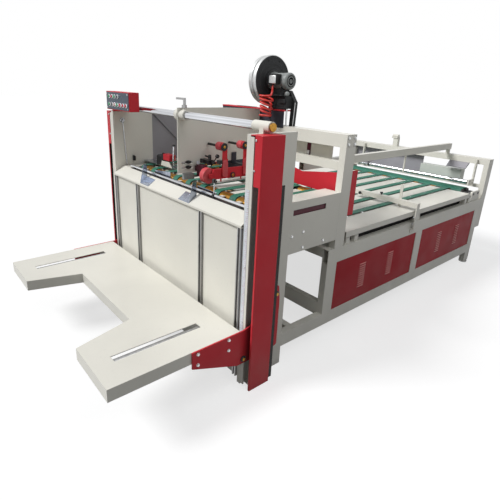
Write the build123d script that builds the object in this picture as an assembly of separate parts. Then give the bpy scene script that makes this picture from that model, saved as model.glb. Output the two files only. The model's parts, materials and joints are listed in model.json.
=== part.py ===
from build123d import *
import math
import os

# Folder gluer. Millimetres, +Z up, +Y from the feed end to the delivery end, +X to the right
# seen from the feed end. In the script Y is counted from the front face of the side walls;
# every piece is then shifted so that the machine is centred over the origin, on the floor.

# Feeder: two side walls carry the lift, the feed table and the chrome cross tube
WALL_IN = 740.0            # inner face of a side wall, from the centre line
WALL_T = 25.0
WALL_LEN = 315.0
WALL_H = 1380.0
SHEET = 3.0
FIT = 0.3                  # clearance between two faces that meet

RAIL_W = 185.0             # lift rail: channel on the outside of each wall
RAIL_D = 25.0
RAIL_T = 8.0
RAIL_FOOT = 12.0

COVER_OUT = 845.0
COVER_LEN = 145.0
COVER_T = 4.0
COVER_TAB = 48.0           # full front flange above the lift's slot
COVER_LIP = 12.0
COVER_TAB_H = 238.0

# Lift table
ARM_OUT = 795.0
ARM_FRONT = -765.0
ARM_IN_FRONT = 435.0
ARM_IN_REAR = 348.0
ARM_CROSS = -446.0
ARM_REAR = -38.0
ARM_TOP = 370.0
ARM_DEPTH = 65.0
ARM_SHEET = 4.0
SLOT_X = 615.0
SLOT_W = 46.0
SLOT_FRONT = -660.0
SLOT_REAR = -180.0
SLOT_BAR_D = 30.0
PLATE_T = 8.0              # carriage plate
ROLL_D = 36.0
ROLL_W = 14.0
ROLL_LOW_Z = 199.0
ROLL_HIGH_Z = 520.0

# Feeder front
PANEL_T = 4.0
PANEL_FOOT = 40.0
FOLD_Z = 920.0
FOLD_Y = -15.0
TABLE_Z = 985.0            # top of the feed table's sheets
TABLE_FRONT = 60.0
GUIDE_D = 14.0
GUIDE_W = 28.0
GUIDE_X = (382.0, 724.0)
ROD_D = 16.0
ROD_LIFT = 10.0

# Feed belts
BELT_PITCH = 152.0
BELT_W = 50.0
BELT_T = 3.0
BELT_COUNT = 9             # one on the centre line
FEED_PULLEY = 76.0
FEED_Y = 190.0
LINK_Y = 690.0
SHAFT_D = 20.0
DRUM_GAP = 8.0             # between a drum and the ends of the sheet strips
DRUM_REACH = 6.0           # drum beyond the outer edge of the last belt
FEED_TOP = 1000.0          # top of the belts

# Cross tube and what it carries
TUBE_D = 42.0
TUBE_Y = 102.0
SLEEVE_D = 52.0
SLEEVE_LEN = 118.0
CAP_T = 10.0
PART_X = 17.0
PART_T = 6.0
PART_FRONT = 70.0
PART_REAR = 735.0
PART_TOP = 1452.0
PART_LOW = 1056.0
HUB_D = 72.0
HUB_LEN = 48.0
COLLAR_D = 58.0
COLLAR_LEN = 50.0

# Press unit beside the partition
UNIT_X = 173.0
UNIT_T = 12.0
UNIT_H = (-24.0, 42.0)     # bar's lower and upper edge from the wheel's axis
UNIT_TAIL = 80.0           # bar behind the second roller
WHEEL_R = 48.0
WHEEL_W = 40.0
WHEEL_Y = 206.0
WHEEL_LIFT = 6.0           # gap between the raised wheel and the belt
AXLE_D = 14.0
ARM_W = 38.0
ARM_T = 10.0
PRESS_YS = (294.0, 463.0)  # axes of the two rollers
PRESS_Z = 1230.0
PRESS_D = 52.0
PRESS_W = 43.0
BEARING_D = 48.0
HANDLE_D = 16.0
HANDLE_LEN = 96.0
SKID_Y = (252.0, 486.0)

# Control box
BOX_IN = 465.0
BOX_OUT = 830.0
BOX_LOW = 1392.0
BOX_H = 126.0
BOX_DEPTH = 72.0
BOX_CORNER = 4.0
BUTTON_D = 22.0

# Base frame, rectangular tube
SIDE_OUT = 763.0
TUBE_W = 45.0
TUBE_WALL = 4.0
BASE_FRONT = 690.0
BASE_LEN = 2310.0
BASE_LOW = 112.0
BASE_RAIL = 86.0
BASE_TOP = 645.0
BASE_TOP_RAIL = 100.0
POST_L = 95.0
FOOT_D = 70.0
FOOT_T = 14.0
PANEL_RECESS = 4.0

# Gantries
GANTRY_L = 90.0
GANTRY_Y = 742.0
GANTRY_TOP = 1345.0
GANTRY_BEAM = 76.0
END_TOP = 1018.0
END_BEAM = 54.0
END_LOW = 355.0

# Link between feeder and base
LINK_TOP = 1008.0
LINK_LOW = 706.0
LINK_SHELF = 120.0
LINK_SLOT = (930.0, 962.0)
TIE_Y = 400.0
CROSS_Z = 268.0
CROSS_H = 92.0

# Deck
DECK_Z = 735.0
DECK_LIP = 38.0
DECK_FRONT = 850.0
DECK_REAR = 2700.0
DECK_PITCH = 176.0
DECK_COUNT = 7
DECK_PULLEY = 84.0
DECK_PULLEY_Y = 2742.0
DECK_BELT_W = 52.0
DECK_TOP = 741.0           # top of the belts
DECK_SHAFT_Y = 890.0
WIDE_Y = (2825.0, 2925.0)  # rollers of the wide delivery belt
WIDE_D = 58.0
WIDE_X = 640.0
OUT_ROLL_Y = 2905.0
OUT_ROLL_D = 40.0
OUT_ROLL_Z = 795.0
OUT_ROLL_X = (-425.0, 640.0)
HANGER_Y = 2968.0          # front face of the hangers that carry the roller

# Long guide beam and cross guide
LONG_X = 357.0
LONG_W = 40.0
LONG_TOP = 1122.0
LONG_H = 58.0
GUIDE_Y = 1680.0
GUIDE_Z = 800.0
GUIDE_IN = 224.0

# Blower on the first gantry
FAN_X = 66.0
FAN_Z = 1630.0
FAN_R = 152.0
FAN_T = 72.0
MOTOR_R = 62.0
MOTOR_LEN = 165.0
AIR_BOX = (-402.0, 112.0)  # suction box under the volute, along X
AIR_BOX_TOP = 1434.0
AIR_FRONT = (-402.0, 208.0)
AIR_FRONT_Z = (1333.0, 1457.0)
AIR_FRONT_T = 2.0

# Coiled cable of the blower motor
CABLE_D = 13.0
COIL_D = 100.0
COIL_X = 157.0
COIL_Y = 662.0
COIL_Z = (1396.0, 1546.0)
CABLE_LOW = 8.0            # the lower end leaves the coil this far above its bottom
GLAND_LEN = 12.0

Y_MID = (ARM_FRONT + BASE_FRONT + BASE_LEN + GANTRY_L) / 2
OUT = "parts"


def block(x0, x1, y0, y1, z0, z1):
    """A box given by its limits."""
    size = Box(abs(x1 - x0), abs(y1 - y0), abs(z1 - z0))
    return Pos((x0 + x1) / 2, (y0 + y1) / 2, (z0 + z1) / 2) * size


def rod_x(d, x0, x1, y, z):
    """A round bar along X."""
    return Pos((x0 + x1) / 2, y, z) * Rot(0, 90, 0) * Cylinder(d / 2, abs(x1 - x0))


def rod_y(d, y0, y1, x, z):
    """A round bar along Y."""
    return Pos(x, (y0 + y1) / 2, z) * Rot(90, 0, 0) * Cylinder(d / 2, abs(y1 - y0))


def rod_z(d, z0, z1, x, y):
    """A round bar along Z."""
    return Pos(x, y, (z0 + z1) / 2) * Cylinder(d / 2, abs(z1 - z0))


def box_tube(x0, x1, y0, y1, z0, z1, axis, wall=TUBE_WALL):
    """Rectangular tube, open at both ends of the named axis."""
    body = block(x0, x1, y0, y1, z0, z1)
    g = {"x": (0, wall, wall), "y": (wall, 0, wall), "z": (wall, wall, 0)}[axis]
    return body - block(x0 + g[0], x1 - g[0], y0 + g[1], y1 - g[1], z0 + g[2], z1 - g[2])


def plate_yz(points, x0, x1, round_at=None, radius=0):
    """A plate with an outline in the YZ plane, from x0 to x1."""
    face = Plane.YZ * Polyline(*points, close=True)
    made = Pos(min(x0, x1), 0, 0) * extrude(make_face(face), abs(x1 - x0), dir=(1, 0, 0))
    if round_at:
        picked = []
        for edge in made.edges().filter_by(Axis.X):
            c = edge.center()
            for p in round_at:
                if abs(c.Y - p[0]) < 0.5 and abs(c.Z - p[1]) < 0.5:
                    picked.append(edge)
        made = fillet(picked, radius)
    return made


def plate_xy(points, z0, z1):
    """A plate with an outline in the XY plane, from z0 to z1."""
    return Pos(0, 0, z0) * extrude(make_face(Polyline(*points, close=True)), z1 - z0)


def plate_xz(points, y0, y1):
    """A plate with an outline in the XZ plane, from y0 to y1."""
    face = make_face(Plane.XZ * Polyline(*points, close=True))
    return Pos(0, y0, 0) * extrude(face, y1 - y0, dir=(0, 1, 0))


def left(piece):
    return mirror(piece, about=Plane.YZ)


def save(name, piece):
    """Write one node, with every solid moved into the machine's frame."""
    solids = [Pos(0, -Y_MID, 0) * solid for solid in piece.solids()]
    made = solids[0] if len(solids) == 1 else Compound(children=solids)
    made.label = name
    export_step(made, os.path.join(OUT, name + ".step"))


def group(pieces):
    """Loose solids that share one node."""
    return Compound(children=pieces)


def save_both(name, pieces):
    """A node that holds the right-hand pieces and their mirror images."""
    save(name, group(pieces + [left(p) for p in pieces]))


# Feeder

def side_wall():
    """Folded box panel, open below, with the return lip that the feed table rests on."""
    x1 = WALL_IN + WALL_T
    body = block(WALL_IN, x1, 0, WALL_LEN, 0, WALL_H)
    body -= block(WALL_IN + SHEET, x1 - SHEET, SHEET, WALL_LEN - SHEET, -1, WALL_H - SHEET)
    # the tube's seat in the top edge is flat, the window is for the feed shaft
    body -= rod_x(SHAFT_D + 1, WALL_IN - 1, x1 + 1, FEED_Y, FEED_TOP - BELT_T - FEED_PULLEY / 2)
    return body


def lift_rail():
    x0 = WALL_IN + WALL_T
    x1 = x0 + RAIL_D
    z0 = RAIL_FOOT
    z1 = WALL_H - 10
    body = block(x0, x1, 0, RAIL_W, z0, z1)
    body -= block(x0 + RAIL_T, x1 + 1, RAIL_T, RAIL_W - RAIL_T, z0 - 1, z1 + 1)
    return body


def lift_cover():
    x1 = COVER_OUT
    slot_top = WALL_H - COVER_TAB_H
    side = block(x1 - COVER_T, x1, 0, COVER_LEN, 0, WALL_H)
    tab = block(x1 - COVER_TAB, x1, 0, COVER_T, slot_top, WALL_H)
    lip = block(x1 - COVER_LIP, x1, 0, COVER_T, 0, slot_top)
    top = block(WALL_IN + WALL_T, x1, 0, COVER_LEN, WALL_H - COVER_T, WALL_H)
    body = side + tab + lip + top
    edge = body.edges().filter_by(Axis.Z).filter_by(lambda e: abs(e.center().X - x1) < 0.1)
    edge = edge.filter_by(lambda e: abs(e.center().Y) < 0.1)
    return fillet(edge, 2.5)


def cover_bracket():
    """Spacer that holds the foot of the cover to the rail."""
    x0 = WALL_IN + WALL_T + RAIL_T
    x1 = COVER_OUT - COVER_T
    z0 = RAIL_FOOT
    body = block(x0, x1, 20, 110, z0, z0 + 8)
    body += block(x1 - 5, x1, 20, 110, z0, z0 + 60)
    return body


def scale_strip():
    return block(WALL_IN + 5, WALL_IN + WALL_T + 7, -1.5, 0, 300, 1120)


def front_panel(x0, x1):
    """Sheet with folded long edges."""
    body = block(x0, x1, 0, PANEL_T, PANEL_FOOT, FOLD_Z)
    for x in (x0, x1 - PANEL_T):
        body += block(x, x + PANEL_T, 0, 30, PANEL_FOOT, FOLD_Z)
    body += block(x0, x1, 0, 30, PANEL_FOOT, PANEL_FOOT + PANEL_T)
    return body


def guide_rail(x):
    x0 = x - GUIDE_W / 2
    x1 = x + GUIDE_W / 2
    body = block(x0, x1, -GUIDE_D, 0, PANEL_FOOT, FOLD_Z - FIT)
    body -= block(x0 + 7, x1 - 7, -GUIDE_D - 1, -5, PANEL_FOOT - 1, FOLD_Z + 1)
    return body


def apron():
    """Folded sheet from the table's front edge down to the fold, and back to the wall."""
    t = PANEL_T
    y1 = TABLE_FRONT
    z1 = TABLE_Z
    points = [
        (y1 + 40, z1), (y1, z1), (FOLD_Y, FOLD_Z + 12), (FOLD_Y, FOLD_Z), (0, FOLD_Z),
        (0, FOLD_Z + t), (FOLD_Y + t, FOLD_Z + t), (FOLD_Y + t, FOLD_Z + 11),
        (y1 + 2, z1 - t), (y1 + 40, z1 - t),
    ]
    return plate_yz(points, -WALL_IN, WALL_IN)


def feed_frame():
    """Cross angles under the table that tie the two walls."""
    body = None
    for y, z in ((TABLE_FRONT + 10, FEED_TOP - FEED_PULLEY - 64), (WALL_LEN - 60, FEED_TOP - FEED_PULLEY - 64)):
        bar = block(-WALL_IN, WALL_IN, y, y + 45, z, z + 5) + block(-WALL_IN, WALL_IN, y, y + 5, z, z + 45)
        body = bar if body is None else body + bar
    low = box_tube(-WALL_IN, WALL_IN, WALL_LEN - 60, WALL_LEN - 15, 60, 150, "x")
    return body + low


def belt_xs(pitch, count):
    return [(n - (count - 1) / 2) * pitch for n in range(count)]


def strip_edges(xs, gap, edge):
    """Left and right edges of the strips that lie between belts at xs."""
    inner = [v for x in xs for v in (x - gap / 2, x + gap / 2)]
    edges = [-edge] + inner + [edge]
    return [(edges[n], edges[n + 1]) for n in range(0, len(edges), 2)]


def table_sheets():
    """Strips of sheet between the feed belts, from drum to drum, on two cross bars."""
    reach = FEED_PULLEY / 2 + DRUM_GAP
    y0 = FEED_Y + reach
    y1 = LINK_Y - reach
    top = TABLE_Z - SHEET
    made = [block(-WALL_IN, WALL_IN, y0 + 12, y0 + 16, top - 37, top)]
    made.append(block(-SIDE_OUT + LINK_SHELF + 2, SIDE_OUT - LINK_SHELF - 2, y1 - 64, y1 - 60, top - 37, top))
    for x0, x1 in strip_edges(belt_xs(BELT_PITCH, BELT_COUNT), BELT_W + 16, WALL_IN - 4):
        if max(abs(x0), abs(x1)) > SIDE_OUT - LINK_SHELF:
            made.append(block(x0, x1, TABLE_FRONT + 40 + FIT, WALL_LEN, top, TABLE_Z))
        else:
            made.append(block(x0, x1, y0, y1, top, TABLE_Z))
    return made


def belt(x, y0, y1, top, d, width, sag=0.0):
    """One flat belt loop round two pulleys with axes along X."""
    z = top - BELT_T - d / 2
    r = d / 2
    outer = block(x - width / 2, x + width / 2, y0, y1, z - r - BELT_T, z + r + BELT_T)
    inner = block(x - width / 2 - 1, x + width / 2 + 1, y0, y1, z - r, z + r)
    for y in (y0, y1):
        outer += rod_x(d + 2 * BELT_T, x - width / 2, x + width / 2, y, z)
        inner += rod_x(d, x - width / 2 - 1, x + width / 2 + 1, y, z)
    return outer - inner


def belts(xs, y0, y1, top, d, width):
    return group([belt(x, y0, y1, top, d, width) for x in xs])


def drum(xs, width, d, y, z, shaft_x):
    """Long roller that carries all the belts of a row, turned down to its shaft at both ends."""
    x1 = xs[-1] + width / 2 + DRUM_REACH
    return rod_x(d - 2 * FIT, -x1, x1, y, z) + rod_x(SHAFT_D, -shaft_x, shaft_x, y, z)


def front_rod():
    """Chrome rod on small saddles along the table's front edge."""
    z = TABLE_Z + ROD_LIFT + ROD_D / 2
    y = TABLE_FRONT + 8
    return rod_x(ROD_D, -612, WALL_IN - 10, y, z)


def rod_saddles():
    z = TABLE_Z + ROD_LIFT + ROD_D / 2
    y = TABLE_FRONT + 8
    body = block(-612, WALL_IN - 10, y - 9, y + 9, TABLE_Z, TABLE_Z + 4)
    for n in range(5):
        x = -560 + n * 300
        body += block(x - 8, x + 8, y - 7, y + 7, TABLE_Z, z)
    return body - rod_x(ROD_D + 2 * FIT, -620, WALL_IN, y, z)


def side_guide(x, side):
    """Bent stainless angle: an upright cheek over a flange that lies on the sloped apron."""
    run = TABLE_FRONT - FOLD_Y
    rise = TABLE_Z - FOLD_Z - 12
    k = rise / run
    t = 2.0
    y0 = FOLD_Y + 4
    y1 = TABLE_FRONT - 16
    z0 = FOLD_Z + 12 + k * (y0 - FOLD_Y) + FIT
    z1 = FOLD_Z + 12 + k * (y1 - FOLD_Y) + FIT
    cheek = plate_yz([(y0, z0), (y1, z1), (y1, z1 + 85), (y0 + 30, z1 + 85)], x, x + side * t)
    foot = plate_yz([(y0, z0), (y1, z1), (y1, z1 + t), (y0, z0 + t)], x, x - side * 112)
    return cheek + foot


def cross_tube():
    body = rod_x(TUBE_D, -WALL_IN - WALL_T, WALL_IN + WALL_T, TUBE_Y, tube_z())
    return body - rod_x(TUBE_D - 8, -WALL_IN - 30, WALL_IN + 30, TUBE_Y, tube_z())


def tube_z():
    return WALL_H + 5 + SLEEVE_D / 2


def sleeve():
    """Saddle on the wall's top edge that holds one end of the tube."""
    x1 = WALL_IN + WALL_T + 30
    x0 = x1 - SLEEVE_LEN
    z = tube_z()
    body = rod_x(SLEEVE_D, x0, x1, TUBE_Y, z)
    body += block(WALL_IN - 5, WALL_IN + WALL_T, TUBE_Y - 26, TUBE_Y + 26, WALL_H, z)
    body -= rod_x(TUBE_D + 2 * FIT, x0 - 1, WALL_IN + WALL_T + FIT, TUBE_Y, z)
    return body


def end_cap():
    x = WALL_IN + WALL_T + 30
    return rod_x(SLEEVE_D - 12, x, x + CAP_T, TUBE_Y, tube_z())


def partition():
    """Divider plate hung on the cross tube, with a lower front tab that is slotted."""
    points = [
        (PART_FRONT, PART_LOW), (212, PART_LOW), (212, PART_LOW + 50), (PART_REAR, PART_LOW + 50),
        (PART_REAR, PART_TOP - 10), (PART_FRONT + 350, PART_TOP), (PART_FRONT, PART_TOP),
    ]
    body = plate_yz(points, PART_X, PART_X + PART_T)
    body -= rod_x(TUBE_D + 2 * FIT, PART_X - 1, PART_X + PART_T + 1, TUBE_Y, tube_z())
    for z in (PART_LOW + 25, PART_LOW + 55):
        body -= block(PART_X - 1, PART_X + PART_T + 1, 98, 180, z, z + 9)
    return body


def hub():
    x1 = PART_X
    x0 = x1 - HUB_LEN
    z = tube_z()
    body = rod_x(HUB_D, x0 + 16, x1, TUBE_Y, z) + rod_x(HUB_D - 16, x0, x0 + 18, TUBE_Y, z)
    return body - rod_x(TUBE_D + 2 * FIT, x0 - 1, x1 + 1, TUBE_Y, z)


def collar():
    x0 = PART_X + PART_T
    z = tube_z()
    body = rod_x(COLLAR_D, x0, x0 + COLLAR_LEN, TUBE_Y, z)
    body += rod_z(20, z + 20, z + 42, x0 + COLLAR_LEN / 2, TUBE_Y)
    return body - rod_x(TUBE_D + 2 * FIT, x0 - 1, x0 + COLLAR_LEN + 1, TUBE_Y, z)


def lock_lever():
    """Bent clamp lever on the collar's screw, with its hexagon hub."""
    x = PART_X + PART_T + COLLAR_LEN / 2
    z = tube_z() + 42
    hub = Pos(x, TUBE_Y, z) * extrude(RegularPolygon(15, 6), 16)
    arm = block(x - 82, x + 10, TUBE_Y - 6, TUBE_Y + 6, z + 44, z + 56)
    stem = block(x - 4, x + 10, TUBE_Y - 6, TUBE_Y + 6, z + 16, z + 44)
    return hub + stem + arm


def control_box():
    body = block(-BOX_OUT, -BOX_IN, 0, BOX_DEPTH, BOX_LOW, BOX_LOW + BOX_H)
    body = fillet(body.edges().filter_by(Axis.Y), BOX_CORNER)
    foot = block(-WALL_IN - WALL_T, -WALL_IN, 10, 60, WALL_H, BOX_LOW)
    return body + foot


def control_panel():
    return block(-BOX_OUT + 6, -BOX_IN - 6, -3, 0, BOX_LOW + 6, BOX_LOW + BOX_H - 6)


def buttons():
    """Two rows of push buttons, each a stem with a collar."""
    made = []
    for row, count, pitch, first in ((0, 4, 44.0, -770.0), (1, 7, 44.0, -770.0)):
        z = BOX_LOW + BOX_H - 34 - row * 54
        for n in range(count):
            x = first + n * pitch
            made.append(rod_y(BUTTON_D, -14, -3, x, z))
    return group(made)


# Press unit beside the partition

def wheel_z():
    return FEED_TOP + WHEEL_LIFT + WHEEL_R


def press_beam():
    """Bar with a lug for the wheel's axle, bracketed to the partition, and the skid under it."""
    x0 = UNIT_X
    x1 = UNIT_X + UNIT_T
    z = wheel_z()
    low = z + UNIT_H[0]
    top = z + UNIT_H[1]
    y1 = PRESS_YS[-1] + UNIT_TAIL
    points = [(WHEEL_Y - 12, z - 14), (WHEEL_Y + 24, low), (y1, low), (y1, top),
              (WHEEL_Y + 20, top), (WHEEL_Y + 10, z + 14), (WHEEL_Y - 12, z + 14)]
    body = plate_yz(points, x0, x1)
    body += block(PART_X + PART_T, x1, y1 - 50, y1 - 10, top - 12, top)
    body += block(PART_X + PART_T, PART_X + PART_T + 6, y1 - 50, y1 - 10, top - 12, PART_LOW + 104)
    body += rod_x(36, x1, x1 + ARM_T, (PRESS_YS[0] + PRESS_YS[1]) / 2 - 6, z - 6)
    skid = block(x0 + 2, x1 - 2, SKID_Y[0], SKID_Y[1], FEED_TOP + WHEEL_LIFT, FEED_TOP + WHEEL_LIFT + 6)
    for y in (SKID_Y[0] + 30, SKID_Y[1] - 40):
        skid += block(x0 + 4, x1 - 4, y, y + 10, FEED_TOP + WHEEL_LIFT + 6, low)
    axle = rod_x(AXLE_D, x0 - WHEEL_W - 14, x1, WHEEL_Y, z)
    return [body + axle, skid]


def press_wheel():
    x1 = UNIT_X - 5
    body = rod_x(2 * WHEEL_R, x1 - WHEEL_W, x1, WHEEL_Y, wheel_z())
    return body - rod_x(AXLE_D + 2 * FIT, x1 - WHEEL_W - 1, x1 + 1, WHEEL_Y, wheel_z())


def press_arm(y):
    """Upright arm on the bar, stepped halfway, with the bearing and pin of its roller."""
    x0 = UNIT_X + UNIT_T + FIT
    x1 = x0 + ARM_T
    z = wheel_z()
    step = (z + PRESS_Z) / 2 + 14
    y0 = y - 6
    low = block(x0, x1, y0, y0 + ARM_W, z - 14, step)
    high = block(x0, x1 - 4, y0, y0 + ARM_W - 2, step, PRESS_Z)
    head = rod_x(BEARING_D, x0, x1 + 4, y, PRESS_Z)
    return low + high + head + rod_x(AXLE_D, x0 - PRESS_W - 14, x0, y, PRESS_Z)


def press_roller(y):
    x1 = UNIT_X + UNIT_T + FIT - 4
    body = rod_x(PRESS_D, x1 - PRESS_W, x1, y, PRESS_Z)
    return body - rod_x(AXLE_D + 2 * FIT, x1 - PRESS_W - 1, x1 + 1, y, PRESS_Z)


def press_handle(y):
    x0 = UNIT_X + UNIT_T + FIT - PRESS_W - 14
    return rod_x(HANDLE_D, x0 - HANDLE_LEN, x0, y, PRESS_Z)


def glue_pot():
    """Block with a tray lip on an arm from the partition's front tab."""
    x0 = PART_X + PART_T
    body = block(x0 + 27, x0 + 95, 130, 225, PART_LOW - 20, PART_LOW + 54)
    body = chamfer(body.edges().filter_by(Axis.X).group_by(Axis.Z)[-1], 12)
    body -= block(x0 + 35, x0 + 87, 138, 217, PART_LOW + 20, PART_LOW + 60)
    return body + block(x0, x0 + 27, 140, 190, PART_LOW + 8, PART_LOW + 40)


def guard_clamp():
    """Black clamp block and its thin rod behind the pot."""
    x0 = PART_X + PART_T
    z = PART_LOW + 58
    body = block(x0, x0 + 92, 236, 276, z, z + 24)
    body += rod_z(22, z + 24, z + 46, x0 + 76, 256)
    body += rod_x(14, x0 + 92, x0 + 128, 262, z + 12)
    return body


def edge_gauge():
    """Bracket from the wall, black slide block, red head and the slanted rod beside it."""
    z = FEED_TOP + 6
    plate = block(-WALL_IN, -336, 236, 312, z, z + 6)
    slide = block(-560, -450, 248, 306, z + 6, z + 72)
    slide = chamfer(slide.edges().filter_by(Axis.X).group_by(Axis.Z)[-1], 10)
    head = block(-450 + FIT, -372, 240, 296, z + 38, z + 80)
    head += block(-450 + FIT, -425, 254, 284, z + 6, z + 38)
    rod = plate_xz([(-366, z + 6), (-354, z + 6), (-344, z + 160), (-356, z + 160)], 262, 274)
    knob = block(-362, -338, 258, 278, z + 160, z + 174)
    return [plate, slide, head, rod + knob]


# Frame behind the feeder

def base_side():
    """One side of the welded base: floor rail, top rail, three posts and the rear leg."""
    x0 = SIDE_OUT - TUBE_W
    x1 = SIDE_OUT
    y1 = BASE_FRONT + BASE_LEN
    z0 = BASE_LOW + BASE_RAIL
    z1 = BASE_TOP - BASE_TOP_RAIL
    tubes = [box_tube(x0, x1, WALL_LEN, y1, BASE_LOW, z0, "y")]
    tubes.append(box_tube(x0, x1, BASE_FRONT, y1, z1, BASE_TOP, "y"))
    for y in post_ys():
        tubes.append(box_tube(x0, x1, y, y + POST_L, z0, z1, "z"))
    y = post_ys()[-1]
    tubes.append(box_tube(x0, x1, y, y + POST_L, FOOT_T, BASE_LOW, "z"))
    return tubes


def post_ys():
    y0 = BASE_FRONT
    step = (BASE_LEN - POST_L) / 2
    return [y0, y0 + step, y0 + 2 * step]


def base_cross():
    """Cross tubes between the two sides: deck level, floor level, drive level."""
    x1 = SIDE_OUT - TUBE_W
    low = BASE_LOW + BASE_RAIL
    bars = []
    for y in post_ys():
        bars.append(box_tube(-x1, x1, y, y + TUBE_W, BASE_TOP - 60, BASE_TOP, "x"))
    for y in (TIE_Y, post_ys()[1], post_ys()[2]):
        bars.append(box_tube(-x1, x1, y, y + TUBE_W, BASE_LOW, low, "x"))
    bars.append(box_tube(-x1, x1, BASE_FRONT, BASE_FRONT + TUBE_W, CROSS_Z - CROSS_H, CROSS_Z, "x"))
    return bars


def foot(x, y):
    return rod_z(FOOT_D, 0, FOOT_T, x, y)


def feet():
    """Levelling discs under the two rear legs."""
    x = SIDE_OUT - TUBE_W / 2
    y = post_ys()[-1] + POST_L / 2
    return group([foot(x, y), foot(-x, y)])


def side_panel(n):
    """Red sheet between two posts, with folded edges."""
    ys = post_ys()
    y0 = ys[n] + POST_L + FIT
    y1 = ys[n + 1] - FIT
    z0 = BASE_LOW + BASE_RAIL + FIT
    z1 = BASE_TOP - BASE_TOP_RAIL - FIT
    x1 = SIDE_OUT - PANEL_RECESS
    body = block(x1 - 22, x1, y0, y1, z0, z1)
    return body - block(x1 - 30, x1 - SHEET, y0 + SHEET, y1 - SHEET, z0 + SHEET, z1 - SHEET)


def end_panel():
    """Sheet that closes the delivery end of the base, under the cross tube."""
    x1 = SIDE_OUT - TUBE_W - FIT
    y1 = post_ys()[2] + POST_L - 20
    z0 = BASE_LOW + BASE_RAIL
    z1 = BASE_TOP - 60
    return block(-x1, x1, y1 - SHEET, y1, z0 + FIT, z1 - FIT)


def portal(y0, low, top, beam):
    """Two posts under a beam, rectangular tube."""
    x1 = SIDE_OUT
    x0 = SIDE_OUT - TUBE_W
    y1 = y0 + GANTRY_L
    posts = [box_tube(x0, x1, y0, y1, low, top - beam, "z"), box_tube(-x1, -x0, y0, y1, low, top - beam, "z")]
    return posts + [box_tube(-x1, x1, y0, y1, top - beam, top, "x")]


def link_side():
    """Side sheet between feeder and base: slotted web, flat shelf with its lip, foot and end flanges."""
    y0 = WALL_LEN + FIT
    y1 = GANTRY_Y - FIT
    x1 = SIDE_OUT
    t = SHEET
    web = block(x1 - t, x1, y0, y1, LINK_LOW, LINK_TOP)
    web -= block(x1 - 10, x1 + 1, y0 + 20, y1 - 130, LINK_SLOT[0], LINK_SLOT[1])
    z = FEED_TOP - BELT_T - FEED_PULLEY / 2
    web += rod_x(46, x1 - 22, x1 - t, LINK_Y, z)
    web -= rod_x(SHAFT_D + 2 * FIT, x1 - 30, x1 - t - 1, LINK_Y, z)
    shelf = block(x1 - LINK_SHELF, x1 - t, y0, y1, LINK_TOP - t, LINK_TOP)
    lip = block(x1 - LINK_SHELF, x1 - LINK_SHELF + t, y0, y1, LINK_TOP - 34, LINK_TOP - t)
    foot = block(x1 - 40, x1 - t, y0, y1, LINK_LOW, LINK_LOW + t)
    made = [web, shelf, lip, foot]
    for y in (y0, y1 - t):
        made.append(block(x1 - 60, x1 - t, y, y + t, LINK_LOW + t, LINK_TOP - t))
    return made


def rear_guard():
    """Grey sheet that closes the left side above the link, with its diagonal stay."""
    y0 = WALL_LEN + FIT
    y1 = GANTRY_Y - FIT
    x0 = -SIDE_OUT + 14
    t = SHEET
    sheet = plate_yz([(y0, LINK_TOP), (y1, LINK_TOP), (y1, GANTRY_TOP - 24), (y0, WALL_H - 8)], x0, x0 + t)
    foot = block(x0 + t, x0 + 34, y0, y1, LINK_TOP, LINK_TOP + t)
    run = 26.0
    stay = plate_yz([(y0 + 8, 1360), (y0 + 8 + run, 1360), (y1 - 60, 1040), (y1 - 60 - run, 1040)],
                    x0 + t, x0 + t + 16)
    return [sheet + foot, stay]


def deck_sheets():
    """Cream strips between the delivery belts, with a turned-down lip on each long side."""
    edge = SIDE_OUT
    t = SHEET
    low = BASE_TOP + 20
    gap = DECK_BELT_W + 18
    made = []
    for y in (DECK_FRONT + 110, 1780, DECK_REAR - 64):
        made.append(block(-edge + 60, edge - 60, y, y + 4, low, DECK_Z - t))
    for x0, x1 in strip_edges(belt_xs(DECK_PITCH, DECK_COUNT), gap, edge):
        y0 = DECK_FRONT if edge in (abs(x0), abs(x1)) else DECK_SHAFT_Y + DECK_PULLEY / 2 + DRUM_GAP
        made.append(block(x0, x1, y0, DECK_REAR, DECK_Z - t, DECK_Z))
    for s in (-1, 1):
        made.append(block(s * edge, s * (edge - t), DECK_FRONT, DECK_REAR, DECK_Z - DECK_LIP, DECK_Z - t))
    return made


def deck_bearers():
    """Stub posts and long angles that lift the deck off the base."""
    made = []
    for s in (-1, 1):
        for y in (DECK_FRONT + 114, 1784, DECK_REAR - 60):
            x0 = s * (SIDE_OUT - TUBE_W + 5)
            x1 = s * (SIDE_OUT - 10)
            made.append(block(x0, x1, y, y + 40, BASE_TOP, DECK_Z - SHEET))
    return made


def shaft_block(x, y, z0, z):
    """Bearing block that stands on the frame and holds a shaft."""
    w = 26.0
    body = block(x - w / 2, x + w / 2, y - 30, y + 30, z0, z0 + 10)
    body += block(x - w / 2, x + w / 2, y - 20, y + 20, z0, z)
    body += rod_x(40, x - w / 2, x + w / 2, y, z)
    return body - rod_x(SHAFT_D + 2 * FIT, x - w, x + w, y, z)


def shaft_blocks():
    z = DECK_TOP - BELT_T - DECK_PULLEY / 2
    x = SIDE_OUT - TUBE_W / 2
    made = []
    for y in (DECK_SHAFT_Y, DECK_PULLEY_Y):
        made += [shaft_block(s * x, y, BASE_TOP, z) for s in (-1, 1)]
    return made


def wide_belt():
    """Full-width belt that takes the blanks from the strips."""
    return belt(0, WIDE_Y[0], WIDE_Y[1], DECK_TOP, WIDE_D, 2 * WIDE_X)


def wide_rollers():
    """Rubber-covered rollers of the wide belt, with turned journals."""
    z = DECK_TOP - BELT_T - WIDE_D / 2
    x1 = SIDE_OUT - TUBE_W / 2 + 10
    made = []
    for y in WIDE_Y:
        roll = rod_x(WIDE_D - 2 * FIT, -WIDE_X - 12, WIDE_X + 12, y, z)
        made.append(roll + rod_x(SHAFT_D, -x1, x1, y, z))
    return made


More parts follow.
